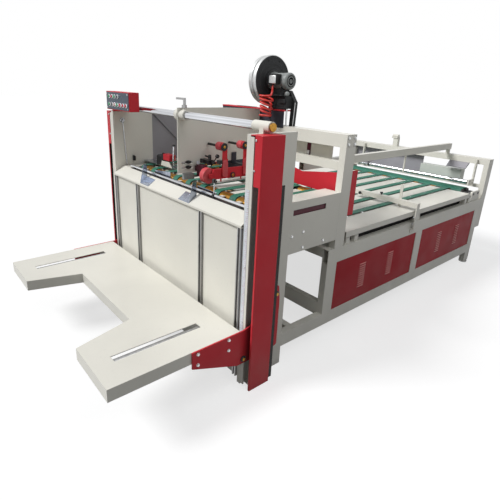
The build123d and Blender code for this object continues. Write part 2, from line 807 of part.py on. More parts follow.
def wide_bearings():
    """Flat bearing plates on the base's top rails."""
    z = DECK_TOP - BELT_T - WIDE_D / 2
    y0 = WIDE_Y[0] - 34
    y1 = WIDE_Y[1] + 34
    x0 = SIDE_OUT - TUBE_W / 2 - 8
    body = block(x0, x0 + 16, y0, y1, BASE_TOP, z + 24)
    body = chamfer(body.edges().filter_by(Axis.X).group_by(Axis.Z)[-1], 10)
    for y in WIDE_Y:
        body -= rod_x(SHAFT_D + 2 * FIT, x0 - 1, x0 + 17, y, z)
    return body


def out_roller():
    """Chrome press roller at the delivery end, turned down at both ends."""
    x0, x1 = OUT_ROLL_X
    body = rod_x(OUT_ROLL_D, x0, x1, OUT_ROLL_Y, OUT_ROLL_Z)
    return body + rod_x(SHAFT_D, -SIDE_OUT + 195, x1 + 28, OUT_ROLL_Y, OUT_ROLL_Z)


def roller_hanger(x0, x1):
    """Post that hangs from the end gantry's beam, with the arm that holds one journal."""
    y0 = HANGER_Y
    y1 = BASE_FRONT + BASE_LEN
    z0 = OUT_ROLL_Z - 26
    body = block(x0, x1, y0, y1, z0, END_TOP - 10)
    body += block(x0, x1, OUT_ROLL_Y - 24, y0, z0, OUT_ROLL_Z + 26)
    return body - rod_x(SHAFT_D + 2 * FIT, x0 - 1, x1 + 1, OUT_ROLL_Y, OUT_ROLL_Z)


def end_bars():
    """Cross bars between the posts of the end gantry, under the roller and at deck height."""
    y1 = BASE_FRONT + BASE_LEN
    x1 = SIDE_OUT - TUBE_W
    return [block(-x1, x1, y1 + 10, y1 + 40, 742, 772)]


def end_hood():
    """Dark sheet that closes the left part of the delivery end."""
    y1 = BASE_FRONT + BASE_LEN + 52
    z0 = 772.0
    x1 = SIDE_OUT - TUBE_W
    body = block(-x1, 112, y1, y1 + SHEET, z0, END_TOP - END_BEAM)
    return body + block(-x1, 112, y1 - 30, y1, z0, z0 + SHEET)


def end_box():
    """Pale sheet box beside the hood, on the cross bar."""
    y1 = BASE_FRONT + BASE_LEN + 4
    return block(112 + FIT, 530, y1, y1 + 80, 772, 884)


def end_tray():
    """Small sloped plate under the end of the long beam."""
    y1 = BASE_FRONT + BASE_LEN
    z1 = END_TOP - END_BEAM
    return plate_yz([(y1 + 2, z1), (y1 + 30, z1), (y1 - 50, z1 - 56), (y1 - 56, z1 - 50)], 400, 585)


def long_beam():
    """Guide beam from the first gantry to the last, on a hanger and a stool."""
    x0 = LONG_X - LONG_W / 2
    x1 = LONG_X + LONG_W / 2
    y0 = GANTRY_Y + GANTRY_L + FIT
    y1 = BASE_FRONT + BASE_LEN + 40
    body = box_tube(x0, x1, y0, y1, LONG_TOP - LONG_H, LONG_TOP, "y", 3)
    body += block(x0, x1, y1 - 3, y1, LONG_TOP - LONG_H, LONG_TOP)
    return body


def beam_hanger():
    """Sheet behind the first gantry's beam, with the seat of the long beam under it."""
    y0 = GANTRY_Y + GANTRY_L + FIT
    x0 = LONG_X - 57
    plate = block(x0, x0 + 300, y0, y0 + 4, LONG_TOP, GANTRY_TOP - 10)
    seat = block(LONG_X - LONG_W / 2, LONG_X + LONG_W / 2, y0 + 4, y0 + 70, LONG_TOP, LONG_TOP + 5)
    web = plate_yz([(y0 + 4, LONG_TOP + 5), (y0 + 64, LONG_TOP + 5), (y0 + 4, LONG_TOP + 70)],
                   LONG_X - 3, LONG_X + 3)
    return plate + seat + web


def beam_stool():
    """Stool of the long beam on the end gantry."""
    y1 = BASE_FRONT + BASE_LEN + 40
    return block(LONG_X - 16, LONG_X + 16, y1 - 34, y1 - 8, END_TOP, LONG_TOP - LONG_H)


def gantry_clamp():
    """Stub post with its clamp head on the end gantry."""
    y0 = BASE_FRONT + BASE_LEN + 8
    post = block(-244, -190, y0, y0 + 40, END_TOP, 1104)
    head = block(-262, -196, y0 - 6, y0 + 46, 1104, 1122)
    return post + head + rod_x(30, -262, -196, y0 + 20, 1130)


def divider_rod():
    """Thin hanger rod under the long beam."""
    return rod_z(16, 916, LONG_TOP - LONG_H, LONG_X, 2200)


def cross_guide():
    """Angle across the deck with its foot on the deck's edge."""
    x1 = SIDE_OUT + 26
    y0 = GUIDE_Y
    t = 4.0
    body = block(GUIDE_IN, x1, y0, y0 + 40, GUIDE_Z - t, GUIDE_Z)
    body += block(GUIDE_IN, x1, y0, y0 + t, GUIDE_Z - 36, GUIDE_Z)
    leg = block(x1 - 8, x1, y0, y0 + 40, BASE_TOP - 50, GUIDE_Z)
    leg += block(SIDE_OUT, x1, y0, y0 + 40, BASE_TOP - 50, BASE_TOP - 42)
    leg += block(SIDE_OUT, SIDE_OUT + 6, y0, y0 + 40, BASE_TOP - 80, BASE_TOP - 42)
    upright = block(SIDE_OUT - 150, SIDE_OUT - 128, y0 + 40, y0 + 44, DECK_Z + 3, GUIDE_Z + 112)
    return body + leg + upright


# Folding section

def fold_plate():
    """Red guard under the first gantry: one sheet bent round the post, trimmed on a slant."""
    y0 = GANTRY_Y + 30
    y1 = y0 + 196
    x0 = 330.0
    x1 = SIDE_OUT - TUBE_W - 8
    t = SHEET
    bent = [(x0, y0), (x1, y0), (x1, y1), (x1 - t, y1), (x1 - t, y0 + t), (x0, y0 + t)]
    sheet = plate_xy(bent, 820, 1112)
    sheet &= plate_xz([(x0 - 1, 985), (x1 - 40, 975), (x1 - 6, 820), (x1 + 1, 820), (x1 + 1, 1113),
                       (x1 - 30, 1112), (420, 1074), (x0 - 1, 1092)], y0 - 1, y1 + 1)
    tab = block(x1, SIDE_OUT - TUBE_W, y0, y0 + 40, 1040, 1060)
    cutter = block(x1 - t, x1 + 1, y0 + t, y1 + 1, 800, 1120)
    return [sheet - cutter, (sheet & cutter) + tab]


def fold_beam():
    """Cross beam behind the first gantry that carries the folding rails."""
    x1 = SIDE_OUT - TUBE_W
    return box_tube(-x1, x1, GANTRY_Y + 20, GANTRY_Y + 70, 1130, 1180, "x")


# Blower

def blower():
    """Volute casing: a scroll with an outlet, cut from one outline, with pressed rims."""
    z = FAN_Z
    y = GANTRY_Y + GANTRY_L / 2 - 20
    body = rod_x(2 * FAN_R, FAN_X - FAN_T / 2, FAN_X + FAN_T / 2, y, z)
    rim = rod_x(2 * FAN_R + 12, FAN_X - 3, FAN_X + 3, y, z)
    outlet = block(FAN_X - FAN_T / 2, FAN_X + FAN_T / 2, y + 40, y + FAN_R, z - 190, z)
    flange = block(FAN_X - FAN_T / 2 - 10, FAN_X + FAN_T / 2 + 10, y + 30, y + FAN_R + 10, z - 196, z - 190)
    inlet = rod_x(120, FAN_X - FAN_T / 2 - 14, FAN_X - FAN_T / 2, y, z)
    return body + rim + outlet + flange + inlet


def blower_motor():
    x0 = FAN_X + FAN_T / 2
    y = GANTRY_Y + GANTRY_L / 2 - 20
    z = FAN_Z
    body = rod_x(2 * MOTOR_R + 30, x0 + 3, x0 + 12, y, z)
    body += rod_x(2 * MOTOR_R, x0 + 12, x0 + MOTOR_LEN - 30, y, z)
    cowl = rod_x(2 * MOTOR_R - 4, x0 + MOTOR_LEN - 30, x0 + MOTOR_LEN, y, z)
    cowl = chamfer(cowl.edges().filter_by(GeomType.CIRCLE).group_by(Axis.X)[-1], 10)
    terminal = block(x0 + 40, x0 + 104, y - 96, y - 44, z - 10, z + 46)
    foot_a = block(x0 + 20, x0 + 130, y - 50, y + 50, z - 96, z - 88)
    foot_b = block(x0 + 28, x0 + 40, y - 44, y + 44, z - 92, z - 20)
    foot_c = block(x0 + 108, x0 + 120, y - 44, y + 44, z - 92, z - 20)
    x, y1, z1 = terminal_mouth()
    gland = rod_z(22, z1, z - 10, x, y1)
    return body + cowl + terminal + gland + foot_a + foot_b + foot_c


def blower_stand():
    """Folded stand on the gantry with a slanted brace."""
    x0 = FAN_X + FAN_T / 2
    y = GANTRY_Y + GANTRY_L / 2
    top = FAN_Z - 96
    body = block(x0 + 12, x0 + 168, GANTRY_Y, GANTRY_Y + GANTRY_L, top - 6, top)
    for x in (x0 + 12, x0 + 150):
        body += block(x, x + 6, GANTRY_Y + 4, GANTRY_Y + GANTRY_L - 4, GANTRY_TOP, top)
    body += block(x0 + 12, x0 + 190, GANTRY_Y, GANTRY_Y + GANTRY_L, GANTRY_TOP, GANTRY_TOP + 6)
    body += plate_xz([(x0 + 156, top), (x0 + 156, top - 14), (x0 + 182, GANTRY_TOP), (x0 + 190, GANTRY_TOP)],
                     y - 20, y + 20)
    return body


def air_box():
    """Box under the volute behind its front sheet, with the gland that takes the cable."""
    x0, x1 = AIR_BOX
    y0 = GANTRY_Y
    body = block(x0, x1, y0, y0 + 100, GANTRY_TOP, AIR_BOX_TOP)
    front = block(AIR_FRONT[0], AIR_FRONT[1], y0 - AIR_FRONT_T, y0, AIR_FRONT_Z[0], AIR_FRONT_Z[1])
    x, y, z = cable_end()
    return body + front + rod_y(22, y, y0 - AIR_FRONT_T, x, z)


def air_lid():
    """Red lid along the front of the suction box, with its oval mouth."""
    x0, x1 = AIR_BOX
    y1 = GANTRY_Y + 52
    lid = block(x0, x1, GANTRY_Y, y1, AIR_BOX_TOP, AIR_FRONT_Z[1] + 1)
    mouth = Pos(x0 + 250, GANTRY_Y + 26, AIR_FRONT_Z[1]) * extrude(Ellipse(110, 16), 10, both=True)
    return lid - mouth


def terminal_mouth():
    """Lower end of the gland under the motor's terminal box."""
    x = FAN_X + FAN_T / 2 + 72
    y = GANTRY_Y + GANTRY_L / 2 - 90
    return x, y, FAN_Z - 10 - GLAND_LEN


def cable_end():
    """Mouth of the gland on the box's front sheet."""
    x = COIL_X - (COIL_D - CABLE_D) / 2
    return x, GANTRY_Y - AIR_FRONT_T - GLAND_LEN, COIL_Z[0] + CABLE_LOW


def cable_run(points):
    """Plain round cable along straight runs with tangent arcs."""
    corners = [Vector(*p) for p in points]
    edges = []
    start = corners[0]
    for a, c, b in zip(corners, corners[1:], corners[2:]):
        u = (c - a).normalized()
        v = (b - c).normalized()
        half = math.acos(u.dot(v)) / 2
        trim = 0.45 * min((c - a).length, (b - c).length)
        reach = trim / math.tan(half)
        middle = c + (v - u).normalized() * (reach / math.cos(half) - reach)
        edges += [Line(start, c - u * trim), ThreePointArc(c - u * trim, middle, c + v * trim)]
        start = c + v * trim
    edges.append(Line(start, corners[-1]))
    lead = (corners[1] - corners[0]).normalized()
    section = Plane(origin=corners[0], z_dir=lead) * Circle(CABLE_D / 2)
    return sweep(section, path=Wire(edges))


def cable_runs():
    """The ends of the cable above and below its coil."""
    x, y, z = terminal_mouth()
    r = (COIL_D - CABLE_D) / 2
    top = [(x, y, z), (x, y, z - 26), (COIL_X + r, COIL_Y, COIL_Z[1] + 12), (COIL_X + r, COIL_Y, COIL_Z[1] - 9)]
    gx, gy, gz = cable_end()
    low = [(gx, COIL_Y + 4, gz), (gx, gy, gz)]
    return [cable_run(top), cable_run(low)]


def cable_coil():
    """Outer shape of the coiled stretch."""
    return rod_z(COIL_D, COIL_Z[0], COIL_Z[1], COIL_X, COIL_Y)


# Lift

def lift_arm():
    """Right half of the fork table: tapered arm and half of the rear cross part, folded sheet."""
    points = [(ARM_OUT, ARM_FRONT), (ARM_OUT, ARM_REAR), (0.15, ARM_REAR), (0.15, ARM_CROSS),
              (ARM_IN_REAR, ARM_CROSS), (ARM_IN_FRONT, ARM_FRONT)]
    z0 = ARM_TOP - ARM_DEPTH
    body = plate_xy(points, z0, ARM_TOP)
    t = ARM_SHEET
    inner = [(ARM_OUT - t, ARM_FRONT + t), (ARM_OUT - t, ARM_REAR - t), (-1, ARM_REAR - t),
             (-1, ARM_CROSS + t), (ARM_IN_REAR + t, ARM_CROSS + t), (ARM_IN_FRONT + t, ARM_FRONT + t)]
    body -= plate_xy(inner, z0 - 1, ARM_TOP - t)
    slot = Pos(SLOT_X, (SLOT_FRONT + SLOT_REAR) / 2, ARM_TOP)
    body -= slot * Box(SLOT_W, SLOT_REAR - SLOT_FRONT, 40)
    for y in (SLOT_FRONT - 20, SLOT_REAR + 14, (ARM_CROSS + ARM_REAR) / 2 + 90):
        body += block(ARM_IN_FRONT, ARM_OUT - t, y, y + 4, z0 + 6, ARM_TOP - t)
    return body


def slot_bar():
    """Round steel runner under the slot, on the two end ribs."""
    z = ARM_TOP - ARM_SHEET - SLOT_BAR_D / 2 - 2
    return rod_y(SLOT_BAR_D, SLOT_FRONT - 16 + FIT, SLOT_REAR + 14 - FIT, SLOT_X, z)


def carriage_plate():
    """Red gusset and carriage in one plate, with rounded rear corners and roller pins."""
    x0 = ARM_OUT
    x1 = x0 + PLATE_T
    rear = RAIL_W + 50
    points = [(-343, 278), (-343, ARM_TOP), (-20, ARM_TOP + 1), (120, ARM_TOP + 40), (176, 566),
              (rear - 12, 566), (rear, 480), (rear, 186), (150, 169), (-58, 169)]
    body = plate_yz(points, x0, x1, [(rear, 480), (rear, 186), (rear - 12, 566)], 11)
    low, high = roller_centres()
    for y, z in (low, high):
        body += rod_x(14, x0 - ROLL_W - 4, x0, y, z)
        body += rod_x(24, x1, x1 + 9, y, z)
    return body


def roller_centres():
    gap = FIT + ROLL_D / 2
    return (-gap, ROLL_LOW_Z), (RAIL_W + gap, ROLL_HIGH_Z)


def carriage_rollers():
    made = []
    x1 = ARM_OUT - 2
    for y, z in roller_centres():
        body = rod_x(ROLL_D, x1 - ROLL_W, x1, y, z)
        made.append(body - rod_x(14 + 2 * FIT, x1 - 40, x1 + 1, y, z))
    return made


os.makedirs(OUT, exist_ok=True)

save_both("side_walls", [side_wall()])
save_both("lift_rails", [lift_rail(), cover_bracket()])
save_both("lift_covers", [lift_cover()])
save("scale_strip", scale_strip())
centre_panel = front_panel(-GUIDE_X[0] + FIT, GUIDE_X[0] - FIT)
outer_panel = front_panel(GUIDE_X[0] + FIT, WALL_IN - FIT)
save("front_panels", group([centre_panel, outer_panel, left(outer_panel)]))
save_both("vertical_guide_rails", [guide_rail(x) for x in GUIDE_X])
save("front_apron", apron())
save("feeder_cross_frame", feed_frame())
save("feed_table", group(table_sheets()))
feed_xs = belt_xs(BELT_PITCH, BELT_COUNT)
feed_z = FEED_TOP - BELT_T - FEED_PULLEY / 2
save("feed_belts", belts(feed_xs, FEED_Y, LINK_Y, FEED_TOP, FEED_PULLEY, BELT_W))
feed_rolls = [drum(feed_xs, BELT_W, FEED_PULLEY, FEED_Y, feed_z, WALL_IN + WALL_T)]
feed_rolls.append(drum(feed_xs, BELT_W, FEED_PULLEY, LINK_Y, feed_z, SIDE_OUT - SHEET - 2))
save("feed_pulleys", group(feed_rolls))
save("front_rod", front_rod())
save("rod_saddles", rod_saddles())
save("side_guides", group([side_guide(263.0, 1), side_guide(-330.0, -1)]))
save("cross_tube", cross_tube())
save_both("tube_sleeves", [sleeve()])
save_both("tube_end_caps", [end_cap()])
save("partition_plate", partition())
save("partition_hubs", group([hub(), collar()]))
save("lock_lever", lock_lever())
save("control_box", control_box())
save("control_panel", control_panel())
save("push_buttons", buttons())
save("press_beam", group(press_beam()))
save("press_wheel", press_wheel())
save("press_arms", group([press_arm(y) for y in PRESS_YS]))
save("press_rollers", group([press_roller(y) for y in PRESS_YS]))
save("press_handles", group([press_handle(y) for y in PRESS_YS] + [guard_clamp()]))
save("glue_pot", glue_pot())
save("base_frame", group(base_side() + [left(p) for p in base_side()] + base_cross() + [end_panel()]))
save("levelling_feet", feet())
save_both("side_panels", [side_panel(0), side_panel(1)])
save("front_gantry", group(portal(GANTRY_Y, BASE_TOP, GANTRY_TOP, GANTRY_BEAM) + [fold_beam()]))
save("end_gantry", group(portal(BASE_FRONT + BASE_LEN, END_LOW, END_TOP, END_BEAM)))
save_both("link_sides", link_side())
save("rear_guard", group(rear_guard()))
save("edge_gauge", group(edge_gauge()))
save("deck_sheets", group(deck_sheets()))
deck_xs = belt_xs(DECK_PITCH, DECK_COUNT)
deck_z = DECK_TOP - BELT_T - DECK_PULLEY / 2
save("deck_belts", belts(deck_xs, DECK_SHAFT_Y, DECK_PULLEY_Y, DECK_TOP, DECK_PULLEY, DECK_BELT_W))
deck_x = SIDE_OUT - TUBE_W + 20
deck_rolls = [drum(deck_xs, DECK_BELT_W, DECK_PULLEY, y, deck_z, deck_x) for y in (DECK_SHAFT_Y, DECK_PULLEY_Y)]
save("deck_pulleys", group(deck_rolls))
save("wide_belt", wide_belt())
save("wide_rollers", group(wide_rollers()))
save("delivery_roller", out_roller())
brackets = deck_bearers() + shaft_blocks() + [wide_bearings(), left(wide_bearings())] + end_bars()
brackets += [roller_hanger(650, 664), roller_hanger(-SIDE_OUT + 195, -SIDE_OUT + 181)]
save("deck_brackets", group(brackets))
save("end_hood", group([end_hood(), end_tray()]))
save("end_box", end_box())
save("long_guide_beam", group([long_beam(), beam_hanger(), beam_stool(), gantry_clamp(), divider_rod()]))
save("cross_guide", cross_guide())
save_both("fold_guards", fold_plate())
save("blower", group([blower(), blower_motor()]))
save("blower_stand", group([blower_stand(), air_box()]))
save("air_box_lid", air_lid())
save("motor_cable", group(cable_runs()))
save("motor_cable_coil", cable_coil())
save_both("lift_table", [lift_arm()])
save_both("slot_runners", [slot_bar()])
save_both("carriage_plates", [carriage_plate()])
save_both("carriage_rollers", carriage_rollers())
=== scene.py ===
import json
import math
import bpy
import bmesh
from mathutils import Matrix, Vector


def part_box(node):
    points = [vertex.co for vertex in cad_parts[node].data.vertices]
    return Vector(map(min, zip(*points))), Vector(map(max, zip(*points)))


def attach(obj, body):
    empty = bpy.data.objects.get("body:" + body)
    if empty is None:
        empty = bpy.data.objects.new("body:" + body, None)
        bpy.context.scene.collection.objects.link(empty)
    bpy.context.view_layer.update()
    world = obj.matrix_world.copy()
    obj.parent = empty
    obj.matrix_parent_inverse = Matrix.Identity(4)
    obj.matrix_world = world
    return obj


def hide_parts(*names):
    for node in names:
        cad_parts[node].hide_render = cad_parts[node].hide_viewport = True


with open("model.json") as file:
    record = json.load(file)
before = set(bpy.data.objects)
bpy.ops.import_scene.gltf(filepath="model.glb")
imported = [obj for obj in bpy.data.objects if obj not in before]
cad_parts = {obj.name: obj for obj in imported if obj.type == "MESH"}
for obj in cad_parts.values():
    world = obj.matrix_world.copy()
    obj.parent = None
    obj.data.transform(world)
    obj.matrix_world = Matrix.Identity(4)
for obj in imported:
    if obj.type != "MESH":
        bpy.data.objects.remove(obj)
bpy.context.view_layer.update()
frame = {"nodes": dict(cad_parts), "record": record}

# Camera: the photo's vanishing points of the machine's three axes, in its pixels, and where it stood
FOCAL = 412.0
CENTRE = (237.0, 225.0)
VP_X = (-127.0, 71.0)
VP_Y = (754.0, 105.0)
VP_Z = (190.0, 1440.0)
SPOT = (2.191, -2.4375, 1.590)
PICTURE = 500.0
SENSOR = 36.0


def ray(u, v):
    """From the camera through a pixel: right, down, forward."""
    return Vector((u - CENTRE[0], v - CENTRE[1], FOCAL))


ex = -ray(*VP_X).normalized()
ey = ray(*VP_Y).normalized()
ez = -ray(*VP_Z).normalized()
# The camera's right and forward as the world sees them, made square to each other
right = Vector((ex.x, ey.x, ez.x))
ahead = Vector((ex.z, ey.z, ez.z)).normalized()
right = (right - ahead * right.dot(ahead)).normalized()
down = ahead.cross(right).normalized()
cam_data = bpy.data.cameras.new("camera")
cam = bpy.data.objects.new("camera", cam_data)
bpy.context.scene.collection.objects.link(cam)
turn = Matrix((right, -down, -ahead)).transposed()
cam.matrix_world = Matrix.Translation(SPOT) @ turn.to_4x4()
cam_data.sensor_width = SENSOR
cam_data.lens = FOCAL / PICTURE * SENSOR
cam_data.shift_x = 0.5 - CENTRE[0] / PICTURE
cam_data.shift_y = CENTRE[1] / PICTURE - 0.5
cam_data.clip_end = 100.0
bpy.context.scene.camera = cam

# The machine's millimetres: x from its centre line, y from the front of its side walls, z up
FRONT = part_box("side_walls")[0][1]


def at(x, y, z):
    """The same place in the frame's metres."""
    return Vector((x / 1000, FRONT + y / 1000, z / 1000))


# Coiled cable of the blower's motor: its two leads, the coil's axis, and the turns' radii from the top
CABLE_D = 13.0
CABLE_TOP = [(174, 697, 1604), (174, 697, 1580), (201, 668, 1556)]
CABLE_END = [(113.5, 690, 1404), (113.5, 710, 1404), (113.5, 728, 1404)]
COIL_AXIS = (157.0, 662.0)
COIL_Z = (1537.0, 1404.0)
COIL_TURNS = 5.5
COIL_STEPS = 14
TURN_SIZES = (43.5, 44.0, 35.0, 40.5, 31.5, 36.0, 43.5)
# Each dip: how far the turns hang below level, and the angle at which they hang lowest
TURN_DIPS = ((15.0, math.radians(46)), (8.0, math.radians(-44)))
DIP_FADE = 0.6


def coil_points():
    """Loose turns that differ in size and hang aslant, from the upper lead down to the lower one."""
    made = []
    for n in range(int(COIL_TURNS * COIL_STEPS) + 1):
        turns = n / COIL_STEPS
        k = int(turns)
        r = TURN_SIZES[k] + (TURN_SIZES[k + 1] - TURN_SIZES[k]) * (turns - k)
        a = -2 * math.pi * turns
        fade = math.sin(math.pi * turns / COIL_TURNS) ** DIP_FADE
        z = COIL_Z[0] + (COIL_Z[1] - COIL_Z[0]) * turns / COIL_TURNS
        z -= fade * sum(depth * math.cos(a - lowest) for depth, lowest in TURN_DIPS)
        made.append((COIL_AXIS[0] + r * math.cos(a), COIL_AXIS[1] + r * math.sin(a), z))
    return made


curve = bpy.data.curves.new("motor_cable", "CURVE")
curve.dimensions = "3D"
spline = curve.splines.new("NURBS")
route = CABLE_TOP + coil_points() + CABLE_END
spline.points.add(len(route) - 1)
for point, spot in zip(spline.points, route):
    point.co = (*at(*spot), 1)
spline.order_u = 3
spline.use_endpoint_u = True
curve.bevel_depth = CABLE_D / 2000
curve.bevel_resolution = 4
curve.resolution_u = 4
curve.use_fill_caps = True
cable = bpy.data.objects.new("coiled_motor_cable", curve)
bpy.context.scene.collection.objects.link(cable)
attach(cable, "frame")
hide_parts("motor_cable", "motor_cable_coil")

# Light: a soft sun from the front left, a pale sky, and a soft lamp over the right side
scene = bpy.context.scene
scene.view_settings.view_transform = "Standard"
SKY = 0.24
SKY_TINT = (0.93, 0.96, 1.0, 1)
WHITE = (1, 1, 1, 1)
SUN = 2.7
SUN_SPOT = (-3.5, -6.2, 7.0)
SUN_ANGLE = 0.35
LAMP_SPOT = (2.4, -0.7, 3.1)
LAMP_AIM = (0.4, -0.3, 1.0)
LAMP_POWER = 19.0
LAMP_SIZE = 1.8
FLOOR_HALF = 40
FLOOR_PALE = (0.40, 0.40, 0.40, 1)
FLOOR_GLOW = 0.68
FLOOR_DULL = (0.15, 0.15, 0.145, 1)


def seen_directly(tree):
    """1 for rays from the camera and in reflections, 0 for diffuse light."""
    path = tree.nodes.new("ShaderNodeLightPath")
    both = tree.nodes.new("ShaderNodeMath")
    both.operation = "ADD"
    tree.links.new(path.outputs["Is Camera Ray"], both.inputs[0])
    tree.links.new(path.outputs["Is Glossy Ray"], both.inputs[1])
    total = tree.nodes.new("ShaderNodeMath")
    total.operation = "ADD"
    total.use_clamp = True
    tree.links.new(both.outputs[0], total.inputs[0])
    tree.links.new(path.outputs["Is Transmission Ray"], total.inputs[1])
    return total.outputs[0]


world = bpy.data.worlds.new("world")
scene.world = world
world.use_nodes = True
tree = world.node_tree
sky = tree.nodes["Background"]
sky.inputs["Color"].default_value = SKY_TINT
sky.inputs["Strength"].default_value = SKY
white = tree.nodes.new("ShaderNodeBackground")
white.inputs["Color"].default_value = WHITE
white.inputs["Strength"].default_value = 1.0
mixed = tree.nodes.new("ShaderNodeMixShader")
tree.links.new(seen_directly(tree), mixed.inputs[0])
tree.links.new(sky.outputs[0], mixed.inputs[1])
tree.links.new(white.outputs[0], mixed.inputs[2])
tree.links.new(mixed.outputs[0], tree.nodes["World Output"].inputs["Surface"])

# Floor: plain and pale, with its shadow; duller for the light that it throws back
mesh = bpy.data.meshes.new("floor")
bm = bmesh.new()
bmesh.ops.create_grid(bm, x_segments=1, y_segments=1, size=FLOOR_HALF)
bm.to_mesh(mesh)
bm.free()
floor = bpy.data.objects.new("floor", mesh)
scene.collection.objects.link(floor)
look = bpy.data.materials.new("floor")
look.use_nodes = True
tree = look.node_tree
tree.nodes.clear()
out = tree.nodes.new("ShaderNodeOutputMaterial")
pale = tree.nodes.new("ShaderNodeBsdfDiffuse")
pale.inputs["Color"].default_value = FLOOR_PALE
glow = tree.nodes.new("ShaderNodeEmission")
glow.inputs["Strength"].default_value = FLOOR_GLOW
both = tree.nodes.new("ShaderNodeAddShader")
tree.links.new(pale.outputs[0], both.inputs[0])
tree.links.new(glow.outputs[0], both.inputs[1])
dull = tree.nodes.new("ShaderNodeBsdfDiffuse")
dull.inputs["Color"].default_value = FLOOR_DULL
mixed = tree.nodes.new("ShaderNodeMixShader")
tree.links.new(seen_directly(tree), mixed.inputs[0])
tree.links.new(dull.outputs[0], mixed.inputs[1])
tree.links.new(both.outputs[0], mixed.inputs[2])
tree.links.new(mixed.outputs[0], out.inputs["Surface"])
floor.data.materials.append(look)

sun_data = bpy.data.lights.new("sun", "SUN")
sun_data.energy = SUN
sun_data.angle = SUN_ANGLE
sun = bpy.data.objects.new("sun", sun_data)
sun.location = SUN_SPOT
sun.rotation_euler = (-Vector(SUN_SPOT)).to_track_quat("-Z", "Y").to_euler()
scene.collection.objects.link(sun)
lamp_data = bpy.data.lights.new("lamp", "AREA")
lamp_data.energy = LAMP_POWER
lamp_data.size = LAMP_SIZE
lamp = bpy.data.objects.new("lamp", lamp_data)
lamp.location = LAMP_SPOT
lamp.rotation_euler = (Vector(LAMP_AIM) - Vector(LAMP_SPOT)).to_track_quat("-Z", "Y").to_euler()
scene.collection.objects.link(lamp)


# Materials


